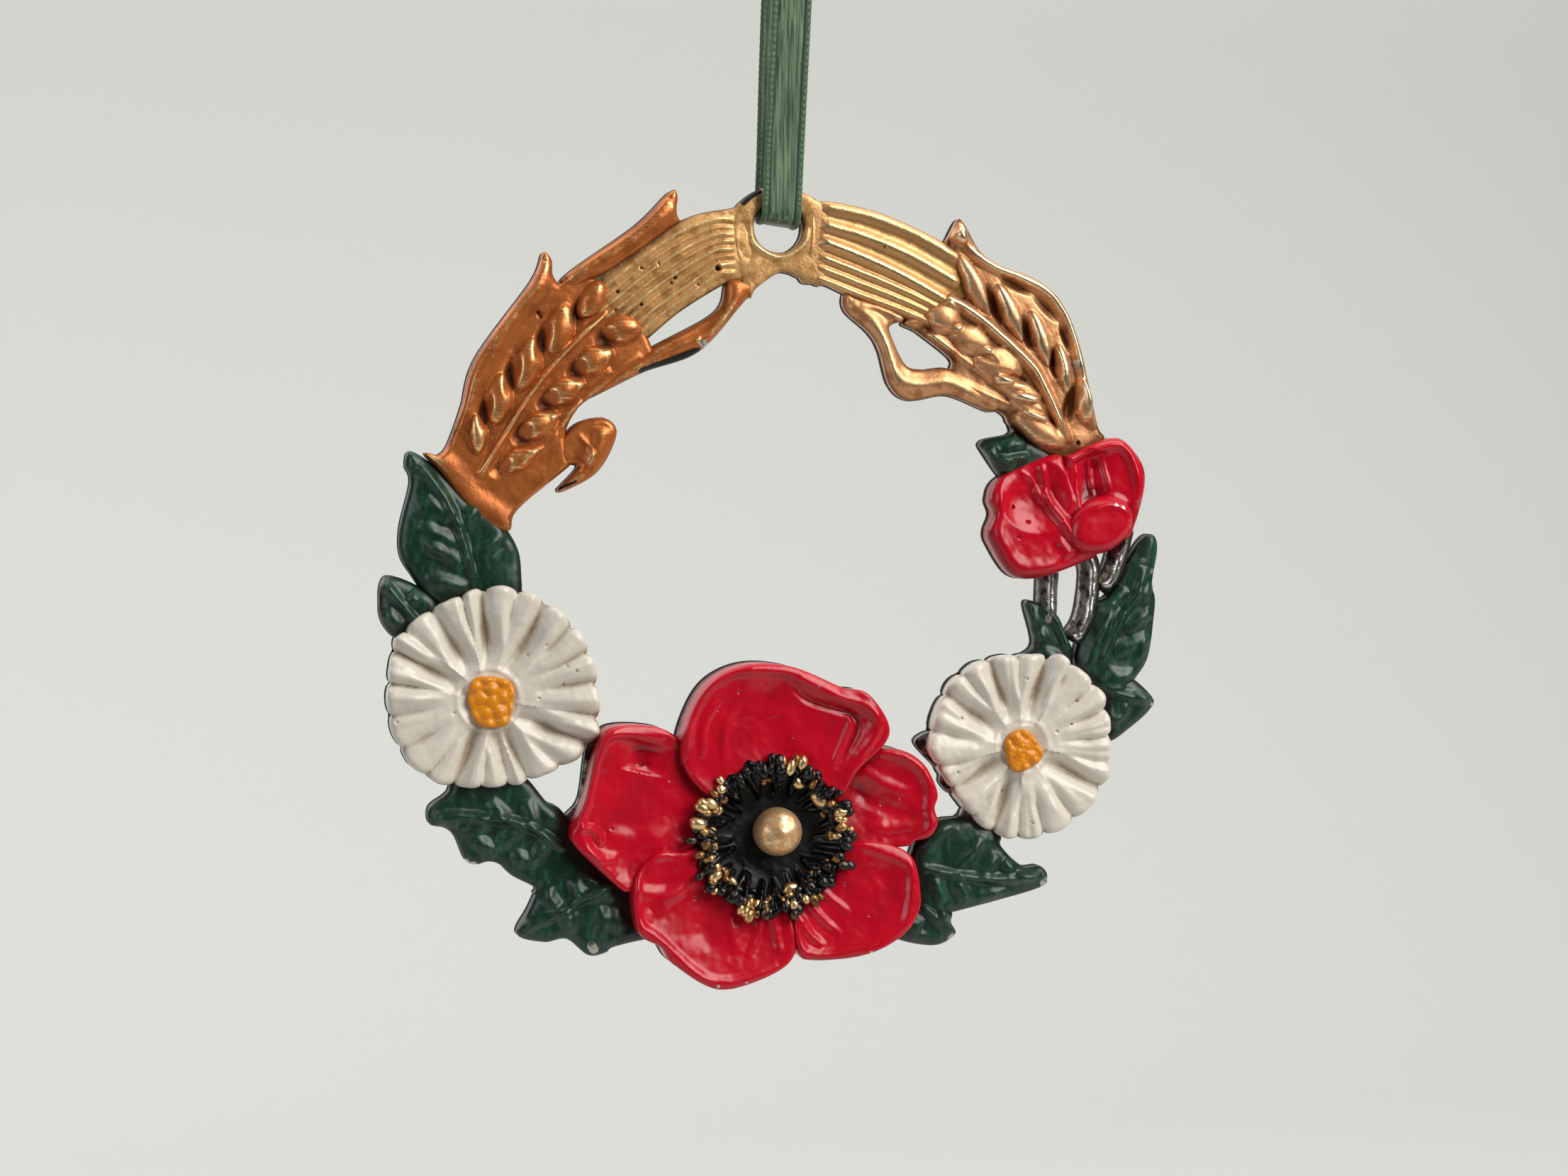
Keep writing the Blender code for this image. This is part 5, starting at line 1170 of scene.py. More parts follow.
# %% Small poppy
SMALL_POPPY_THICKNESS, SMALL_POPPY_KNOB_HEIGHT = 2.7 * MM, 3.7 * MM
SMALL_PETAL_RIM, SMALL_CUP_RIM, KNOB_RIM = (1.5, 2.0, 0.12), (0.9, 1.0, 0.1), (1.7, 1.7, 0.08)


def small_poppy():
    left_petal = [(30.4, 14), (28.9, 11.3), (29.4, 9.3), (28.7, 7.2), (29.1, 5.4), (31.9, 1.5),
        (35.8, 1.2), (41.4, 3.1), (43.3, 4.3), (42.8, 8.9), (40.4, 12.5), (39, 16.1), (36.9, 16.8)]
    folds = [mound((34.8, 11.6), 9.5, 9.5, 0, -1.4, 1.0),
        ridge([(34.8, 12.5), (36.7, 10.7), (40.3, 5.4)], 2.4, 0.7),
        ridge([(30.3, 12.5), (29.5, 8.5), (30.1, 5.5), (32.7, 2.6), (38, 2.5)], 3.4, 0.45),
        ridge([(35.5, 15.7), (36.9, 10.2)], 1.8, 0.5),
        ridge([(32.7, 15), (34.8, 13.2), (35.6, 10.2)], 1.0, 0.22),
        ridge([(37.5, 6.2), (39.4, 3.9)], 2.2, 0.35)]
    faults = pits([(32.5, 6.4), (33.9, 8.3), (32, 10.2)], 0.24, 0.4)
    cast("small_poppy_left_petal", "red", outline(left_petal), SMALL_POPPY_THICKNESS, folds + faults,
         *SMALL_PETAL_RIM,
         chips=[((37.7, 5.4), 0.15)], curl=0.4)
    cup = [(38.8, 15.7), (40, 17.1), (44.8, 19), (47.4, 18.1), (49.6, 14.1), (48, 7.2), (46.3, 5.9),
        (43.5, 6.5), (40.3, 8.4)]
    folds = [ridge([(43, 17.4), (42.1, 13.4), (42.7, 10.2)], 7.0, -1.1, 0.3),
        ridge([(38.3, 10.5), (37.9, 14.5), (39.4, 16.5), (45.9, 18.1), (48.4, 13.4), (47.8, 10.2)], 2.4,
            0.7), ridge([(40.2, 15.7), (40.4, 9.8)], 1.1, 0.3),
        ridge([(41.9, 16.3), (42.6, 11.6)], 1.0, 0.28), ridge([(43.6, 16.8), (44.6, 12.3)], 1.0, 0.25),
        ridge([(38.8, 8.4), (41.1, 10.5), (44, 11.4), (47.1, 10.5)], 2.2, 0.3)]
    folds += pits([(38.8, 12.7)], 0.24)
    cast("small_poppy_cup", "red", outline(cup), SMALL_POPPY_THICKNESS, folds, *SMALL_CUP_RIM,
         chips=[((48.2, 10.9), 0.15)], curl=0.3)
    knob = ellipse((43.3, 7.9), 9.3, 7.1, 28)
    cast("small_poppy_knob", "red", knob, SMALL_POPPY_KNOB_HEIGHT,
        [ridge([(41.4, 9.6), (43.8, 10.5), (46.2, 10), (47, 8.4)], 1.6, 0.25)], *KNOB_RIM,
        chips=[((46, 10.2), 0.25), ((45, 10.5), 0.2), ((46.9, 9.6), 0.2)])


small_poppy()
print("pieces:", len(PIECES), "front triangles:", sum(len(p["triangles"]) for p in PIECES))

# %% [markdown]
# Painted shade darkens the hollows, and the paint is rubbed brightest on the crests. To know which is
# which, the heights of all the pieces are laid on one map of the wreath. A place lower than its wide
# surroundings is a hollow, and a place higher than its close surroundings is a crest.

# %% High and low places
MAP_CELL, MAP_SIDE, MAP_CORNER = 0.25, 460, -57.0
NEAR_CELLS, WIDE_CELLS = 2, 6
HOLLOW_DEPTH, CREST_HEIGHT = 0.8, 0.2


def on_map(spots):
    """The map's cells that the spots lie in."""
    return tuple(np.clip((spots.T - MAP_CORNER) / MAP_CELL, 0, MAP_SIDE - 1).astype(int))


def blurred(values, radius):
    """The values averaged over a square twice, which is nearly a round soft blur."""
    size = 2 * radius + 1
    for _ in range(4):
        total = np.cumsum(np.pad(values, ((radius + 1, radius), (0, 0))), axis=0)
        values = (total[size:] - total[:-size]).T / size
    return values


highest = np.zeros((MAP_SIDE, MAP_SIDE))
for piece in PIECES:
    np.maximum.at(highest, on_map(piece["spots"]), piece["height"])
filled = (highest > 0) * 1.0
near, wide = (blurred(highest, radius) / np.maximum(blurred(filled, radius), 0.05)
              for radius in (NEAR_CELLS, WIDE_CELLS))
for piece in PIECES:
    cells = on_map(piece["spots"])
    # the hollow value sets how much painted shade a place gets, the crest value how much rub it gets
    piece["hollow"] = np.clip((wide[cells] - piece["height"]) / HOLLOW_DEPTH, 0, 1)
    piece["crest"] = np.clip((piece["height"] - near[cells]) / CREST_HEIGHT, 0, 1)
print(f"the relief rises to {highest.max() * UNIT / MM:.2f} mm over the back")

# %% [markdown]
# Now the drawn pieces become meshes. Each rim point gets a column of points down to the back, drawn in a
# little towards the bottom, because a mould needs that draft to let the casting go. Every place keeps
# its hollow, crest, wear and wall value as an attribute, which the paints read.

# %% Pieces as meshes
BACK_PLATE = 0.35 * MM
# how far the walls count as hollow, which gives them some painted shade
WALL_SHADE = 0.3


def spot_vector(spots, height):
    """Places on the face and their heights, as points of the frame."""
    return np.c_[MIDDLE.x + spots[:, 0] * UNIT, BACK - height * UNIT, MIDDLE.z + spots[:, 1] * UNIT]


def as_piece(name, vertices, faces, values, sharp=60):
    """A closed mesh object on the wreath's body, with its attributes."""
    piece = mesh_object(name, np.clip(vertices, wreath_low, wreath_high), faces, values)
    piece.data.set_sharp_from_angle(angle=math.radians(sharp))
    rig.ride(piece, "root")
    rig.replaces(piece, "wreath")
    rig.slot(piece, "painted_pewter")
    return piece


def built(piece):
    """One painted part: its front, its walls and its back."""
    spots, height = piece["spots"], piece["height"]
    rows, faces = [spot_vector(spots, height)], [tuple(t) for t in piece["triangles"]]
    values = {key: [piece[key]] for key in ("hollow", "crest", "worn", "wall")}
    start, total = 0, len(spots)
    under = BACK_PLATE / UNIT / 2
    last = {}
    for number, count in enumerate(piece["loops"]):
        loop = spots[start:start + count]
        rim = height[start:start + count]
        into = inward(loop) * (1 if number == 0 else -1)
        above = start + np.arange(count)
        for level, draft in zip(WALL_LEVELS, WALL_DRAFT):
            rows.append(spot_vector(loop + into * draft, under + (rim - under) * level))
            row = total + np.arange(count)
            after = np.roll(row, -1)
            faces += list(zip(above, np.roll(above, -1), after, row))
            for key, amount in (("hollow", WALL_SHADE), ("crest", 0.0), ("worn", 0.0),
                ("wall", 1 - level)):
                values[key].append(np.full(count, amount))
            above, total = row, total + count
        last.update(zip(range(start, start + count), above))
        start += count
    faces += [tuple(int(last[i]) for i in t) for t in piece["under"]]
    values = {key: np.concatenate(parts) for key, parts in values.items()}
    return as_piece(piece["name"], np.concatenate(rows), faces, values)


for piece in PIECES:
    piece["object"] = built(piece)
print("meshes:", len(PIECES), "with faces:", sum(len(p["object"].data.polygons) for p in PIECES))

# %% [markdown]
# The backs of all the parts are one flat plane on the casting, where the metal met the mould's plain
# half. One thin plate has the outline of them all together. Triangles are drawn over every outline at
# once, and those that lie in none of them, or in the hanging hole, are left out.

# %% The flat back
BACK_GRID = 0.5
BACK_UNEVEN = 0.03


def casting_back():
    """The plate behind every part, a closed piece with a slightly uneven cast face."""
    edges = [piece["spots"][:piece["loops"][0]][::2] for piece in PIECES]
    hole = ellipse(HOLE, 2 * HOLE_RADIUS / UNIT, 2 * HOLE_RADIUS / UNIT, count=36)
    low, high = np.concatenate(edges).min(0), np.concatenate(edges).max(0)
    grid = np.stack(np.meshgrid(*(np.arange(a, b, BACK_GRID) for a, b in zip(low, high))), -1)
    spots = np.concatenate(edges + [hole, grid.reshape(-1, 2)])
    links = ring_links(edges + [hole])
    made, _, triangles, *_ = delaunay_2d_cdt([tuple(q) for q in spots], links, [], 0, 1e-4)
    made = np.array([tuple(q) for q in made])
    triangles = np.array([t for t in triangles if len(t) == 3])
    middles = made[triangles].mean(1)
    kept = np.zeros(len(triangles), bool)
    for edge in edges:
        near = np.where(((middles > edge.min(0)) & (middles < edge.max(0))).all(1) & ~kept)[0]
        kept[near] = inside(middles[near], edge)
    kept &= ~inside(middles, hole)
    triangles = triangles[kept]
    sides = np.concatenate([triangles[:, [0, 1]], triangles[:, [1, 2]], triangles[:, [2, 0]]])
    known = {tuple(side) for side in sides}
    rim = [side for side in known if side[::-1] not in known]
    on_rim = np.zeros(len(made), bool)
    on_rim[np.array(rim).ravel()] = True
    deep = BACK_UNEVEN * (1 + unevenness(made, 1.7)) * ~on_rim
    count = len(made)
    back, front = spot_vector(made, deep), spot_vector(made, np.full(count, BACK_PLATE / UNIT))
    vertices = np.concatenate([back, front])
    faces = triangles.tolist() + (triangles[:, ::-1] + count).tolist()
    faces += [(b, a, a + count, b + count) for a, b in rim]
    used = np.unique(np.concatenate([triangles.ravel(), triangles.ravel() + count]))
    order = np.full(2 * count, -1)
    order[used] = np.arange(len(used))
    faces = [[int(order[i]) for i in face] for face in faces]
    zero = np.zeros(len(used))
    values = {"hollow": zero, "crest": zero, "worn": zero, "wall": zero + 1}
    return as_piece("flat_back", vertices[used], faces, values)


flat_back = casting_back()
print("flat back faces:", len(flat_back.data.polygons))

# %% [markdown]
# The beads at the filaments' ends are blobs of metal about half a millimetre wide. Each is a ball
# pulled out of round, sunk into the ring and given a value for how much brass paint it caught.

# %% Beads
BEAD_RINGS, BEAD_SIDES = 12, 18
BEAD_SINK, BEAD_SCALE, BEAD_CREST = 0.3, 0.72, 0.3
SMALL_BEADS, SMALL_FAR, SMALL_SIZE, SMALL_GILT = 120, (80, 114), (6, 11), (0, 1.1)
OUTER_FAR = 90


def bead_mesh(place, size, stretch, turn, seed):
    """The points and faces of one blob on the heart's slope; sizes in hundredths."""
    up_angle, round_angle = np.meshgrid(np.linspace(0, math.pi, BEAD_RINGS + 1)[1:-1],
                                        np.arange(BEAD_SIDES) * math.tau / BEAD_SIDES, indexing="ij")
    level = np.sin(up_angle)
    ball = np.stack([level * np.cos(round_angle), level * np.sin(round_angle), np.cos(up_angle)], -1)
    ball = np.concatenate([[[0, 0, 1.0]], ball.reshape(-1, 3), [[0, 0, -1.0]]])
    lump = 1 + 0.13 * unevenness(ball[:, :2] * 1.1 + seed, 0.8)
    lump += 0.06 * unevenness(ball[:, 1:] + 2 * seed, 0.35)
    ball = ball * lump[:, None] * (size * stretch, size, size)
    c, s = math.cos(turn), math.sin(turn)
    flat = place + ball[:, :2] @ np.array([[c, s], [-s, c]])
    base = STAMENS_HEIGHT / UNIT + heart_height(place[None])[0]
    rows = [(0, 1 + k, 1 + (k + 1) % BEAD_SIDES) for k in range(BEAD_SIDES)]
    for ring in range(BEAD_RINGS - 2):
        a = 1 + ring * BEAD_SIDES
        rows += [(a + k, a + BEAD_SIDES + k, a + BEAD_SIDES + (k + 1) % BEAD_SIDES, a + (k + 1) % BEAD_SIDES)
                 for k in range(BEAD_SIDES)]
    end, a = len(ball) - 1, 1 + (BEAD_RINGS - 2) * BEAD_SIDES
    rows += [(end, a + (k + 1) % BEAD_SIDES, a + k) for k in range(BEAD_SIDES)]
    return spot_vector(flat, base + BEAD_SINK * size + ball[:, 2]), rows, ball[:, 2] / size


def beads():
    """The traced beads and the small ones strewn among them, as one piece."""
    vertices, faces, gilding = [], [], []
    chance = np.random.default_rng(5)
    small = [(chance.uniform(0, 360), chance.uniform(*SMALL_FAR), chance.uniform(*SMALL_SIZE),
              chance.uniform(*SMALL_GILT)) for _ in range(SMALL_BEADS)]
    for number, (angle, far, size, gilt) in enumerate(BEADS + small):
        place = on_heart(angle, far * BEAD_PIXEL)
        stretch = 1.15 + 0.45 * math.sin(5.1 * number) ** 2
        turn = math.radians(angle + (90 if far < OUTER_FAR else 0))
        made, rows, up = bead_mesh(place, size * BEAD_PIXEL * BEAD_SCALE, stretch, turn, number)
        start = sum(len(v) for v in vertices)
        faces += [[i + start for i in row] for row in rows]
        vertices.append(made)
        gilding.append(gilt * (0.8 + 0.3 * up))
    gilding = np.concatenate(gilding)
    zero = np.zeros(len(gilding))
    values = {"gilt": gilding, "hollow": zero, "crest": zero + BEAD_CREST, "worn": zero, "wall": zero}
    return as_piece("poppy_anthers", np.concatenate(vertices), faces, values, 80)


anthers = beads()
print("beads:", len(BEADS) + SMALL_BEADS, "with faces:", len(anthers.data.polygons))

# %% [markdown]
# Every paint is built the same way, as it was on the bench: a first coat, then thinner coats that lie
# only in some places. A coat's cover comes from one of the mesh's values, made ragged by a fine noise,
# so that no coat ends in a smooth line. All coats feed one surface shader.

# %% Tools for paint
def linear(code):
    """An sRGB hex colour as the linear numbers that Blender works in."""
    parts = [int(code[i:i + 2], 16) / 255 for i in (1, 3, 5)]
    return [c / 12.92 if c <= 0.04045 else ((c + 0.055) / 1.055) ** 2.4 for c in parts] + [1]


def feed(tree, socket, value):
    """Gives a socket a number or a colour, or links another node's socket to it."""
    if isinstance(value, bpy.types.NodeSocket):
        tree.links.new(value, socket)
    else:
        socket.default_value = value


def add(tree, kind, inputs=(), **settings):
    """Adds a node. Its inputs are given by name or number, its other settings by name."""
    node = tree.nodes.new(kind)
    for name, value in settings.items():
        setattr(node, name, value)
    for name, value in dict(inputs).items():
        feed(tree, node.inputs[name], value)
    return node


def grain(tree, size, stretch=(1, 1, 1), detail=3.0):
    """A noise whose spots are about this many metres across, the same on every piece."""
    places = add(tree, "ShaderNodeTexCoord").outputs["Object"]
    if stretch != (1, 1, 1):
        places = add(tree, "ShaderNodeMapping", {"Vector": places, "Scale": stretch}).outputs["Vector"]
    noise = {"Vector": places, "Scale": 1 / size, "Detail": detail}
    return add(tree, "ShaderNodeTexNoise", noise).outputs["Fac"]


def cover(source, start, full, size=0.4 * MM, ragged=0.5, stretch=(1, 1, 1)):
    """Where a coat lies: from none at start to all at full of a mesh value, made ragged by noise."""
    def mask(tree):
        level = grain(tree, size, stretch)
        if source:
            value = add(tree, "ShaderNodeAttribute", attribute_name=source).outputs["Fac"]
            parts = {0: level, 1: ragged, 2: value}
            level = add(tree, "ShaderNodeMath", parts, operation="MULTIPLY_ADD").outputs[0]
        spread = {"Value": level, "From Min": start, "From Max": full}
        return add(tree, "ShaderNodeMapRange", spread).outputs["Result"]
    return mask


def mixed_colour(tree, under, over, place):
    """Mixes two colours by a mask."""
    return add(tree, "ShaderNodeMix", {0: place, 6: under, 7: over}, data_type="RGBA").outputs[2]


def mixed_number(tree, under, over, place):
    """Mixes two numbers by a mask, or keeps the number where both are the same."""
    if not isinstance(under, bpy.types.NodeSocket) and under == over:
        return under
    return add(tree, "ShaderNodeMix", {0: place, 2: under, 3: over}).outputs[0]


def new_material(name):
    """A material, the tree of its nodes, and the surface shader that they feed."""
    material = bpy.data.materials.new(name)
    material.use_nodes = True
    return material, material.node_tree, material.node_tree.nodes["Principled BSDF"]


def roughen(tree, shader, height, deep):
    """Lets the light see a fine relief of this depth."""
    waves = add(tree, "ShaderNodeBump", {"Height": height, "Distance": deep})
    tree.links.new(waves.outputs["Normal"], shader.inputs["Normal"])


def painted(name, base, coats=(), bump=0.0, bump_size=0.25 * MM, **shine):
    """A finish: base and coats are (colour, metallic, roughness), and each coat adds its cover."""
    material, tree, shader = new_material(name)
    colour, metallic, roughness = linear(base[0]), base[1], base[2]
    for coat_colour, coat_metallic, coat_roughness, mask in coats:
        place = mask(tree)
        colour = mixed_colour(tree, colour, linear(coat_colour), place)
        metallic = mixed_number(tree, metallic, coat_metallic, place)
        roughness = mixed_number(tree, roughness, coat_roughness, place)
    surface = {"Base_Color": colour, "Metallic": metallic, "Roughness": roughness, **shine}
    for socket, value in surface.items():
        feed(tree, shader.inputs[socket.replace("_", " ")], value)
    if bump:
        roughen(tree, shader, grain(tree, bump_size), bump)
    return material

# %% [markdown]
# Bronze paint is bronze powder in clear lacquer. Its flakes lie flat as it dries, so it gleams softly
# rather than mirroring. The four kinds here differ in how much powder they hold. A darker brown coat in
# the hollows is painted shade, and handling has rubbed the crests. On the walls the metal is bare and
# dark, and a chip shows bright pewter.

# %% Bronze paints
FINISHES = {}
DARK_WALL = ("#211E1B", 0.5, 0.5, cover("wall", 0.75, 1.05, 0.5 * MM, 0.5))
BARE_CHIP = ("#B8B4AC", 1.0, 0.32, cover("worn", 0.55, 0.8, 0.2 * MM, 0.6))
# Copper bronze, brushed on unevenly: warm and blotched, with pale rubbed grains.
FINISHES["copper"] = painted("copper_bronze_paint", ("#BC6A30", 0.5, 0.36), [
    ("#A45824", 0.5, 0.4, cover(None, 0.5, 0.62, 1.6 * MM)),
    ("#F4C486", 0.85, 0.34, cover("crest", 0.95, 1.5, 0.4 * MM, 0.9)),
    # painted shade: dark brown in the hollows
    ("#5A2A0C", 0.4, 0.5, cover("hollow", 0.6, 1.2, 0.4 * MM, 0.4)),
    DARK_WALL, BARE_CHIP], 0.02 * MM)
# Gold bronze: paler and brighter, because it holds more powder.
FINISHES["bronze"] = painted("gold_bronze_paint", ("#D69C6C", 0.65, 0.42), [
    ("#B4784C", 0.65, 0.42, cover(None, 0.5, 0.62, 1.3 * MM)),
    ("#F4D2A4", 0.95, 0.33, cover("crest", 0.85, 1.4, 0.35 * MM, 0.8)),
    # painted shade: dark brown in the hollows
    ("#6A3810", 0.5, 0.5, cover("hollow", 0.5, 1.1, 0.4 * MM, 0.4)),
    DARK_WALL, BARE_CHIP], 0.02 * MM)
# Ochre colour with a little bronze powder: a dull gold that hardly gleams.
FINISHES["straw"] = painted("ochre_gold_paint", ("#D6A468", 0.4, 0.42), [
    ("#B08046", 0.4, 0.5, cover(None, 0.5, 0.62, 0.9 * MM)),
    ("#E8D29A", 0.7, 0.35, cover("crest", 0.95, 1.5, 0.25 * MM, 0.9)),
    # painted shade: dark brown in the grooves between the stalks
    ("#5E3E18", 0.2, 0.6, cover("hollow", 0.4, 0.85, 0.25 * MM, 0.5)),
    DARK_WALL, BARE_CHIP], 0.04 * MM)
# Bright gold bronze, rubbed all over: the most metallic of the four.
FINISHES["gold_straw"] = painted("bright_gold_paint", ("#D09E68", 0.65, 0.4), [
    ("#F2D498", 0.95, 0.3, cover("crest", 0.8, 1.4, 0.3 * MM, 0.8)),
    # painted shade: olive brown in the hollows
    ("#9A7034", 0.5, 0.5, cover("hollow", 0.45, 0.95, 0.3 * MM, 0.5)),
    DARK_WALL, BARE_CHIP], 0.03 * MM)
print("bronze paints:", list(FINISHES))

# %% [markdown]
# Enamel is colour in thick varnish. It levels to a wet-looking skin, which gives small sharp
# highlights. Where the relief is low, a darker coat of each colour is painted shade.

# %% Enamels
# Red enamel, put on thickly: deep crimson, with painted shade darkening it between the folds.
FINISHES["red"] = painted("red_enamel", ("#C20A24", 0.0, 0.26), [
    ("#B40A20", 0.0, 0.29, cover(None, 0.45, 0.65, 3.0 * MM)),
    # painted shade: dark crimson in the hollows between the folds
    ("#74000F", 0.0, 0.25, cover("hollow", 0.45, 1.0, 0.5 * MM, 0.3)),
    DARK_WALL, BARE_CHIP], 0.02 * MM, 1.2 * MM, Specular_IOR_Level=0.4)
# Dark green enamel, streaked by the brush: nearly black, with a dull shine.
FINISHES["leaf"] = painted("dark_green_enamel", ("#0D3020", 0.0, 0.38), [
    ("#1C4A33", 0.0, 0.38, cover(None, 0.5, 0.66, 0.5 * MM, 0.5, (1, 1, 0.35))),
    # painted shade: near-black green in the hollows
    ("#06140C", 0.0, 0.4, cover("hollow", 0.5, 1.0, 0.4 * MM, 0.4)),
    DARK_WALL, BARE_CHIP], 0.025 * MM, 0.6 * MM)
# Off-white enamel: clean petals, with grey-brown painted shade in the grooves.
FINISHES["white"] = painted("off_white_enamel", ("#D8D0C2", 0.0, 0.3), [
    # painted shade: grey-brown in the grooves between the petals
    ("#A4947F", 0.0, 0.4, cover("hollow", 0.45, 1.1, 0.4 * MM, 0.3)),
    DARK_WALL, BARE_CHIP], 0.015 * MM)
# Yellow enamel: warm, with orange painted shade between the eye's beads.
FINISHES["yellow"] = painted("yellow_enamel", ("#DC8602", 0.0, 0.36), [
    # painted shade: orange between the beads
    ("#A86004", 0.0, 0.4, cover("hollow", 0.3, 0.8, 0.3 * MM, 0.3)),
    DARK_WALL], 0.015 * MM)
# Black enamel: two small glints on a darkness that shows little of its form.
FINISHES["black"] = painted("black_enamel", ("#060505", 0.0, 0.26), [
    # painted shade: blacker and duller in the hollows
    ("#020202", 0.0, 0.6, cover("hollow", 0.4, 0.9, 0.4 * MM, 0.3))], 0.02 * MM, Specular_IOR_Level=0.3)
print("with the enamels:", list(FINISHES))

# %% [markdown]
# The last three finishes are metal. The beads and the dome in the poppy's heart were picked out by hand
# with a small brush. The stems are bare, and the back, which the photograph hides, is taken to be.

# %% Gilding and bare metal
# Brass paint dabbed over black: each bead has a bright top and a dark foot.
FINISHES["brass"] = painted("brass_paint", ("#0E0B0A", 0.0, 0.3), [
    ("#A8743C", 0.8, 0.36, cover("gilt", 0.85, 1.1, 0.35 * MM, 0.7)),
    ("#F0CC94", 0.9, 0.32, cover("gilt", 1.15, 1.4, 0.3 * MM, 0.7))], 0.02 * MM)
# Pale gold paint, flattened by rubbing: a soft gleam all over, dark at the foot.
FINISHES["gilt"] = painted("pale_gold_paint", ("#E8B47C", 0.7, 0.42), [
    ("#FADCB0", 0.85, 0.36, cover(None, 0.48, 0.6, 0.5 * MM)),
    ("#2A1C10", 0.1, 0.5, cover("wall", 0.05, 0.3, 0.3 * MM, 0.2))], 0.03 * MM, 0.4 * MM)
# Bare pewter, blackened in a bath and rubbed: blotched grey with bright crests.
FINISHES["pewter"] = painted("blackened_pewter", ("#8A847C", 0.95, 0.34), [
    ("#2A2724", 0.7, 0.5, cover(None, 0.5, 0.6, 0.7 * MM)),
    ("#D0CCC4", 1.0, 0.3, cover("crest", 0.7, 1.3, 0.4 * MM, 0.6)),
    DARK_WALL], 0.03 * MM)
for piece in PIECES:
    piece["object"].data.materials.append(FINISHES[piece["paint"]])
anthers.data.materials.append(FINISHES["brass"])
flat_back.data.materials.append(FINISHES["pewter"])
print("finishes in use:", len({piece["paint"] for piece in PIECES} | {"brass"}), "of", len(FINISHES))

# %% [markdown]
# Satin is woven so that long threads lie on its face. They all run along the ribbon and throw the light
# back in one direction, which is its soft sheen. Along each edge runs a groove darkened with painted
# shade, and a paler cord.

# %% Satin
# Real satin threads are under a tenth of a millimetre. They are drawn coarser here, or none would show.
THREAD_WIDE, THREAD_DEEP, THREAD_STRETCH = 0.2 * MM, 0.02 * MM, (1, 1, 0.05)
# millimetres from the ribbon's middle: where the painted shade of the groove darkens, and where the cord begins
GROOVE_SHADE_FROM, GROOVE_SHADE_FULL, CORD_FROM, CORD_FULL = 0.95, 1.12, 1.14, 1.24


def eased(tree, value, low, high):
    """0 up to low, 1 from high, and even in between."""
    spread = {"Value": value, "From Min": low, "From Max": high}
    return add(tree, "ShaderNodeMapRange", spread).outputs["Result"]


def satin():
    """Woven green satin: fine pale and dark threads, painted shade in the groove, and a plain cord."""
    material, tree, shader = new_material("woven_green_satin")
    across = add(tree, "ShaderNodeAttribute", attribute_name="across").outputs["Fac"]
    off_middle = add(tree, "ShaderNodeMath", {0: across}, operation="ABSOLUTE").outputs[0]
    threads = eased(tree, grain(tree, THREAD_WIDE, THREAD_STRETCH), 0.35, 0.65)
    groove = eased(tree, off_middle, GROOVE_SHADE_FROM, GROOVE_SHADE_FULL)
    cord = eased(tree, off_middle, CORD_FROM, CORD_FULL)
    colour = mixed_colour(tree, linear("#26442A"), linear("#6A8662"), threads)
    # painted shade: near-black green along the groove beside each cord
    colour = mixed_colour(tree, colour, linear("#101E12"), groove)
    colour = mixed_colour(tree, colour, linear("#42603F"), cord)
    shine = {"Base Color": colour, "Roughness": 0.42, "Anisotropic": 0.6, "Sheen Weight": 0.3}
    for socket, value in shine.items():
        feed(tree, shader.inputs[socket], value)
    roughen(tree, shader, threads, THREAD_DEEP)
    return material


ribbon.data.materials.append(satin())
print("the ribbon wears", ribbon.data.materials[0].name)

# %% [markdown]
# The photograph has a pale plain background, out of focus. A single sheet serves as floor and wall: it
# lies flat below the wreath, curves up behind it and rises past the top of the picture.

# %% Backdrop
FLOOR_UNDER, WALL_BEHIND, SWEEP_RADIUS = 60 * MM, 420 * MM, 200 * MM
SHEET_WIDE, SHEET_FRONT, SHEET_TOP = 1.3, -0.1, 0.8


def backdrop():
    """The sheet of pale paper, which is part of the stage and not of the wreath."""
    floor = wreath_low[2] - FLOOR_UNDER
    wall = BACK + WALL_BEHIND
    turn = np.linspace(0, math.pi / 2, 25)
    side = [(SHEET_FRONT, floor)]
    side += [(wall - SWEEP_RADIUS * (1 - math.sin(a)), floor + SWEEP_RADIUS * (1 - math.cos(a)))
             for a in turn]
    side.append((wall, SHEET_TOP))
    vertices = [(x, y, z) for x in (-SHEET_WIDE / 2, SHEET_WIDE / 2) for y, z in side]
    n = len(side)
    mesh = bpy.data.meshes.new("backdrop")
    mesh.from_pydata(vertices, [], [(i, i + 1, n + i + 1, n + i) for i in range(n - 1)])
    mesh.shade_smooth()
    sheet = bpy.data.objects.new("backdrop", mesh)
    bpy.context.scene.collection.objects.link(sheet)
    # matt paper, pressed and uncoated, which spreads the light evenly and shows no highlight
    sheet.data.materials.append(painted("pale_paper", ("#BEBEBA", 0.0, 0.9)))
    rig.stage(sheet)
    print(f"sheet: {WALL_BEHIND / MM:.0f} mm behind the wreath, {FLOOR_UNDER / MM:.0f} mm below it")


backdrop()

# %% [markdown]
# The main light is a big soft window in front, at the upper right, and a weak one stands at the left.
# Glossy enamel shows both as broad pale patches, which is why they are large and near. A lamp over the
# sheet keeps the background pale, and a faint one behind lets the back be seen. The camera doesn't see
# the lamps. Past the sheet's edges it sees a pale room, which gives the wreath hardly any light.

# %% Light
ROOM_GLOW = 0.03


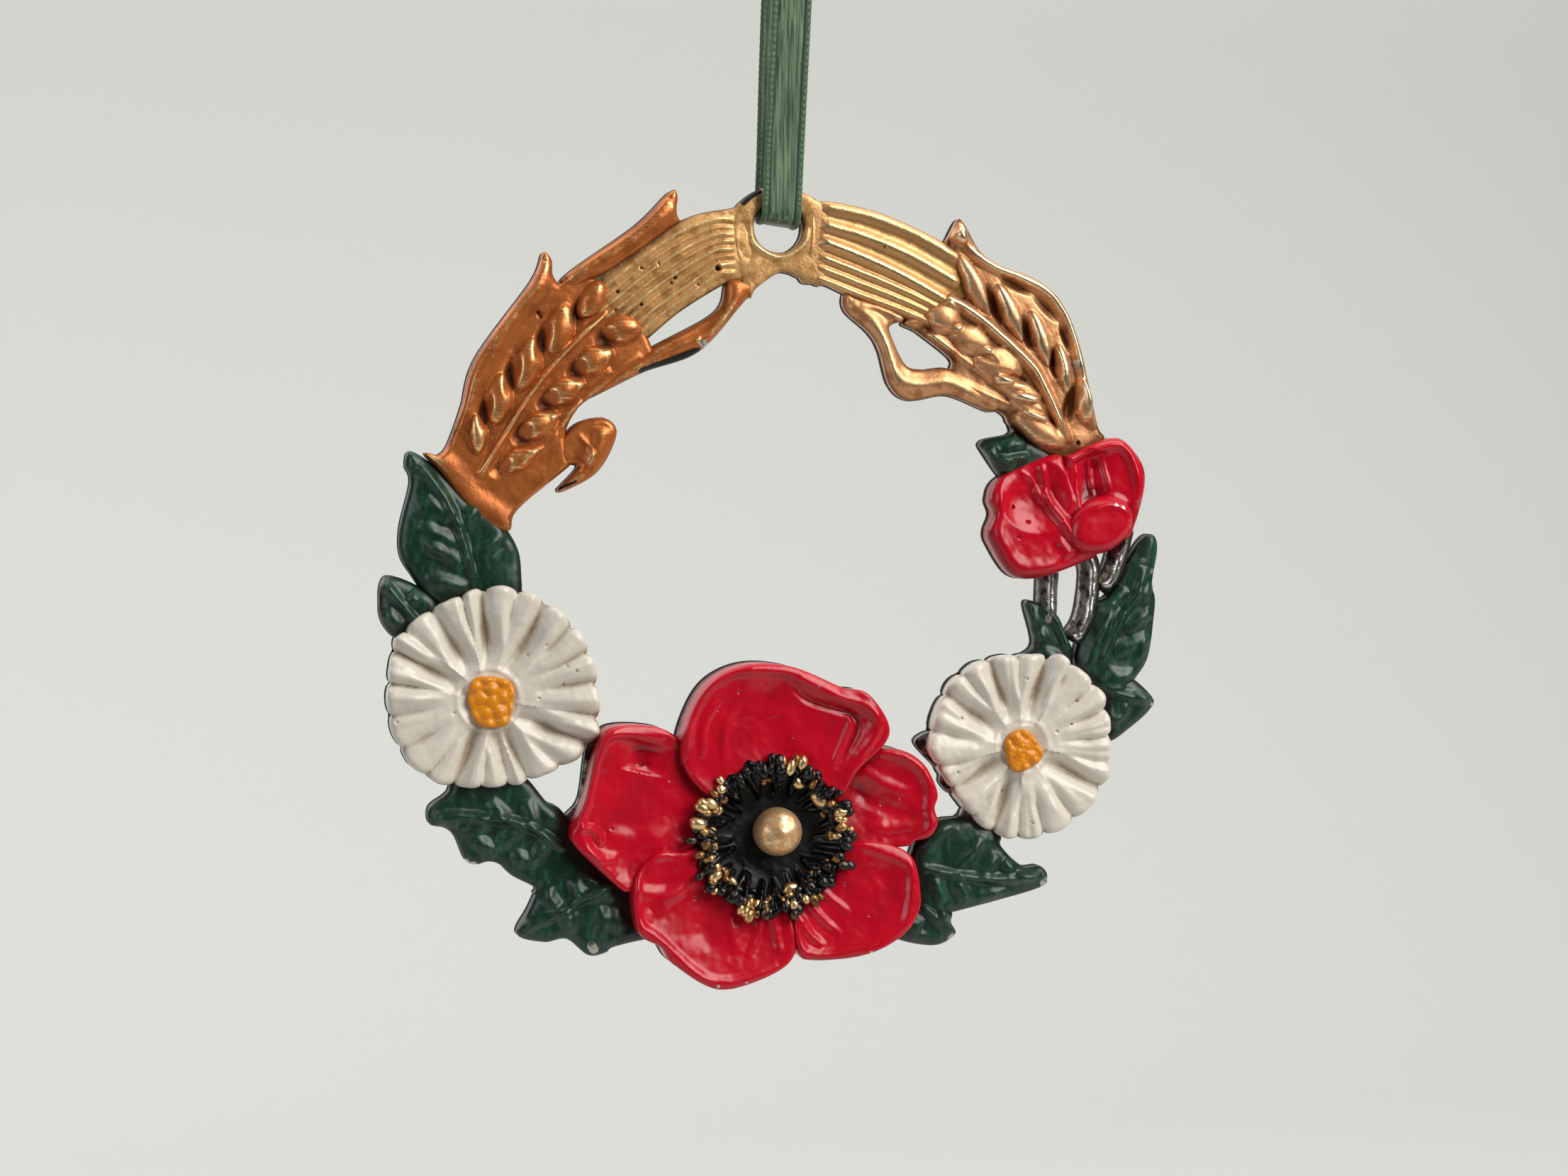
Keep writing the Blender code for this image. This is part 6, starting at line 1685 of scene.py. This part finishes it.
def window(name, place, size, power, colour, aim=MIDDLE):
    """A soft light, size wide and high, that faces the wreath or another place."""
    light = bpy.data.lights.new(name, "AREA")
    light.energy, light.color = power, linear(colour)[:3]
    light.shape = "RECTANGLE"
    light.size, light.size_y = size
    lamp = bpy.data.objects.new(name, light)
    lamp.location = place
    lamp.visible_camera = False
    lamp.rotation_euler = (Vector(place) - Vector(aim)).to_track_quat("Z", "Y").to_euler()
    bpy.context.scene.collection.objects.link(lamp)


window("window_light", (0.28, -0.3, 0.22), (0.3, 0.45), 3.2, "#FFFDF8")
window("left_window", (-0.38, -0.26, 0.02), (0.16, 0.3), 0.5, "#F2F6FF")
window("backdrop_light", (0.0, 0.1, 0.45), (1.1, 0.3), 3.7, "#FCFEFF", (0.0, 0.4, -0.1))
window("back_light", (-0.32, 0.34, 0.16), (0.3, 0.3), 0.8, "#FCFEFF")


def room():
    """Far walls that a camera sees as pale as the sheet, and that give the wreath little light."""
    world = bpy.data.worlds.new("room")
    world.use_nodes = True
    tree = world.node_tree
    dim = tree.nodes["Background"]
    dim.inputs["Color"].default_value = linear("#B8BCC4")
    dim.inputs["Strength"].default_value = ROOM_GLOW
    pale = add(tree, "ShaderNodeBackground", {"Color": linear("#D2D2CC")})
    seen = add(tree, "ShaderNodeLightPath").outputs["Is Camera Ray"]
    both = add(tree, "ShaderNodeMixShader", {0: seen, 1: dim.outputs[0], 2: pale.outputs[0]})
    tree.links.new(both.outputs[0], tree.nodes["World Output"].inputs["Surface"])
    return world


bpy.context.scene.world = room()
bpy.context.scene.view_settings.view_transform = "Standard"
print("lamps:", [lamp.name for lamp in bpy.context.scene.objects if lamp.type == "LIGHT"])

# %% [markdown]
# The dressed wreath must be the same size as the solid one. Both boxes are written side by side.

# %% Sizes and finish
SCENE_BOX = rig.bounds()
print("scene box in mm:", [[round(c / MM, 2) for c in corner] for corner in SCENE_BOX])
with open("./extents.json", "w") as sizes:
    json.dump({"cad": [list(corner) for corner in CAD_BOX],
               "scene": [list(corner) for corner in SCENE_BOX]}, sizes)
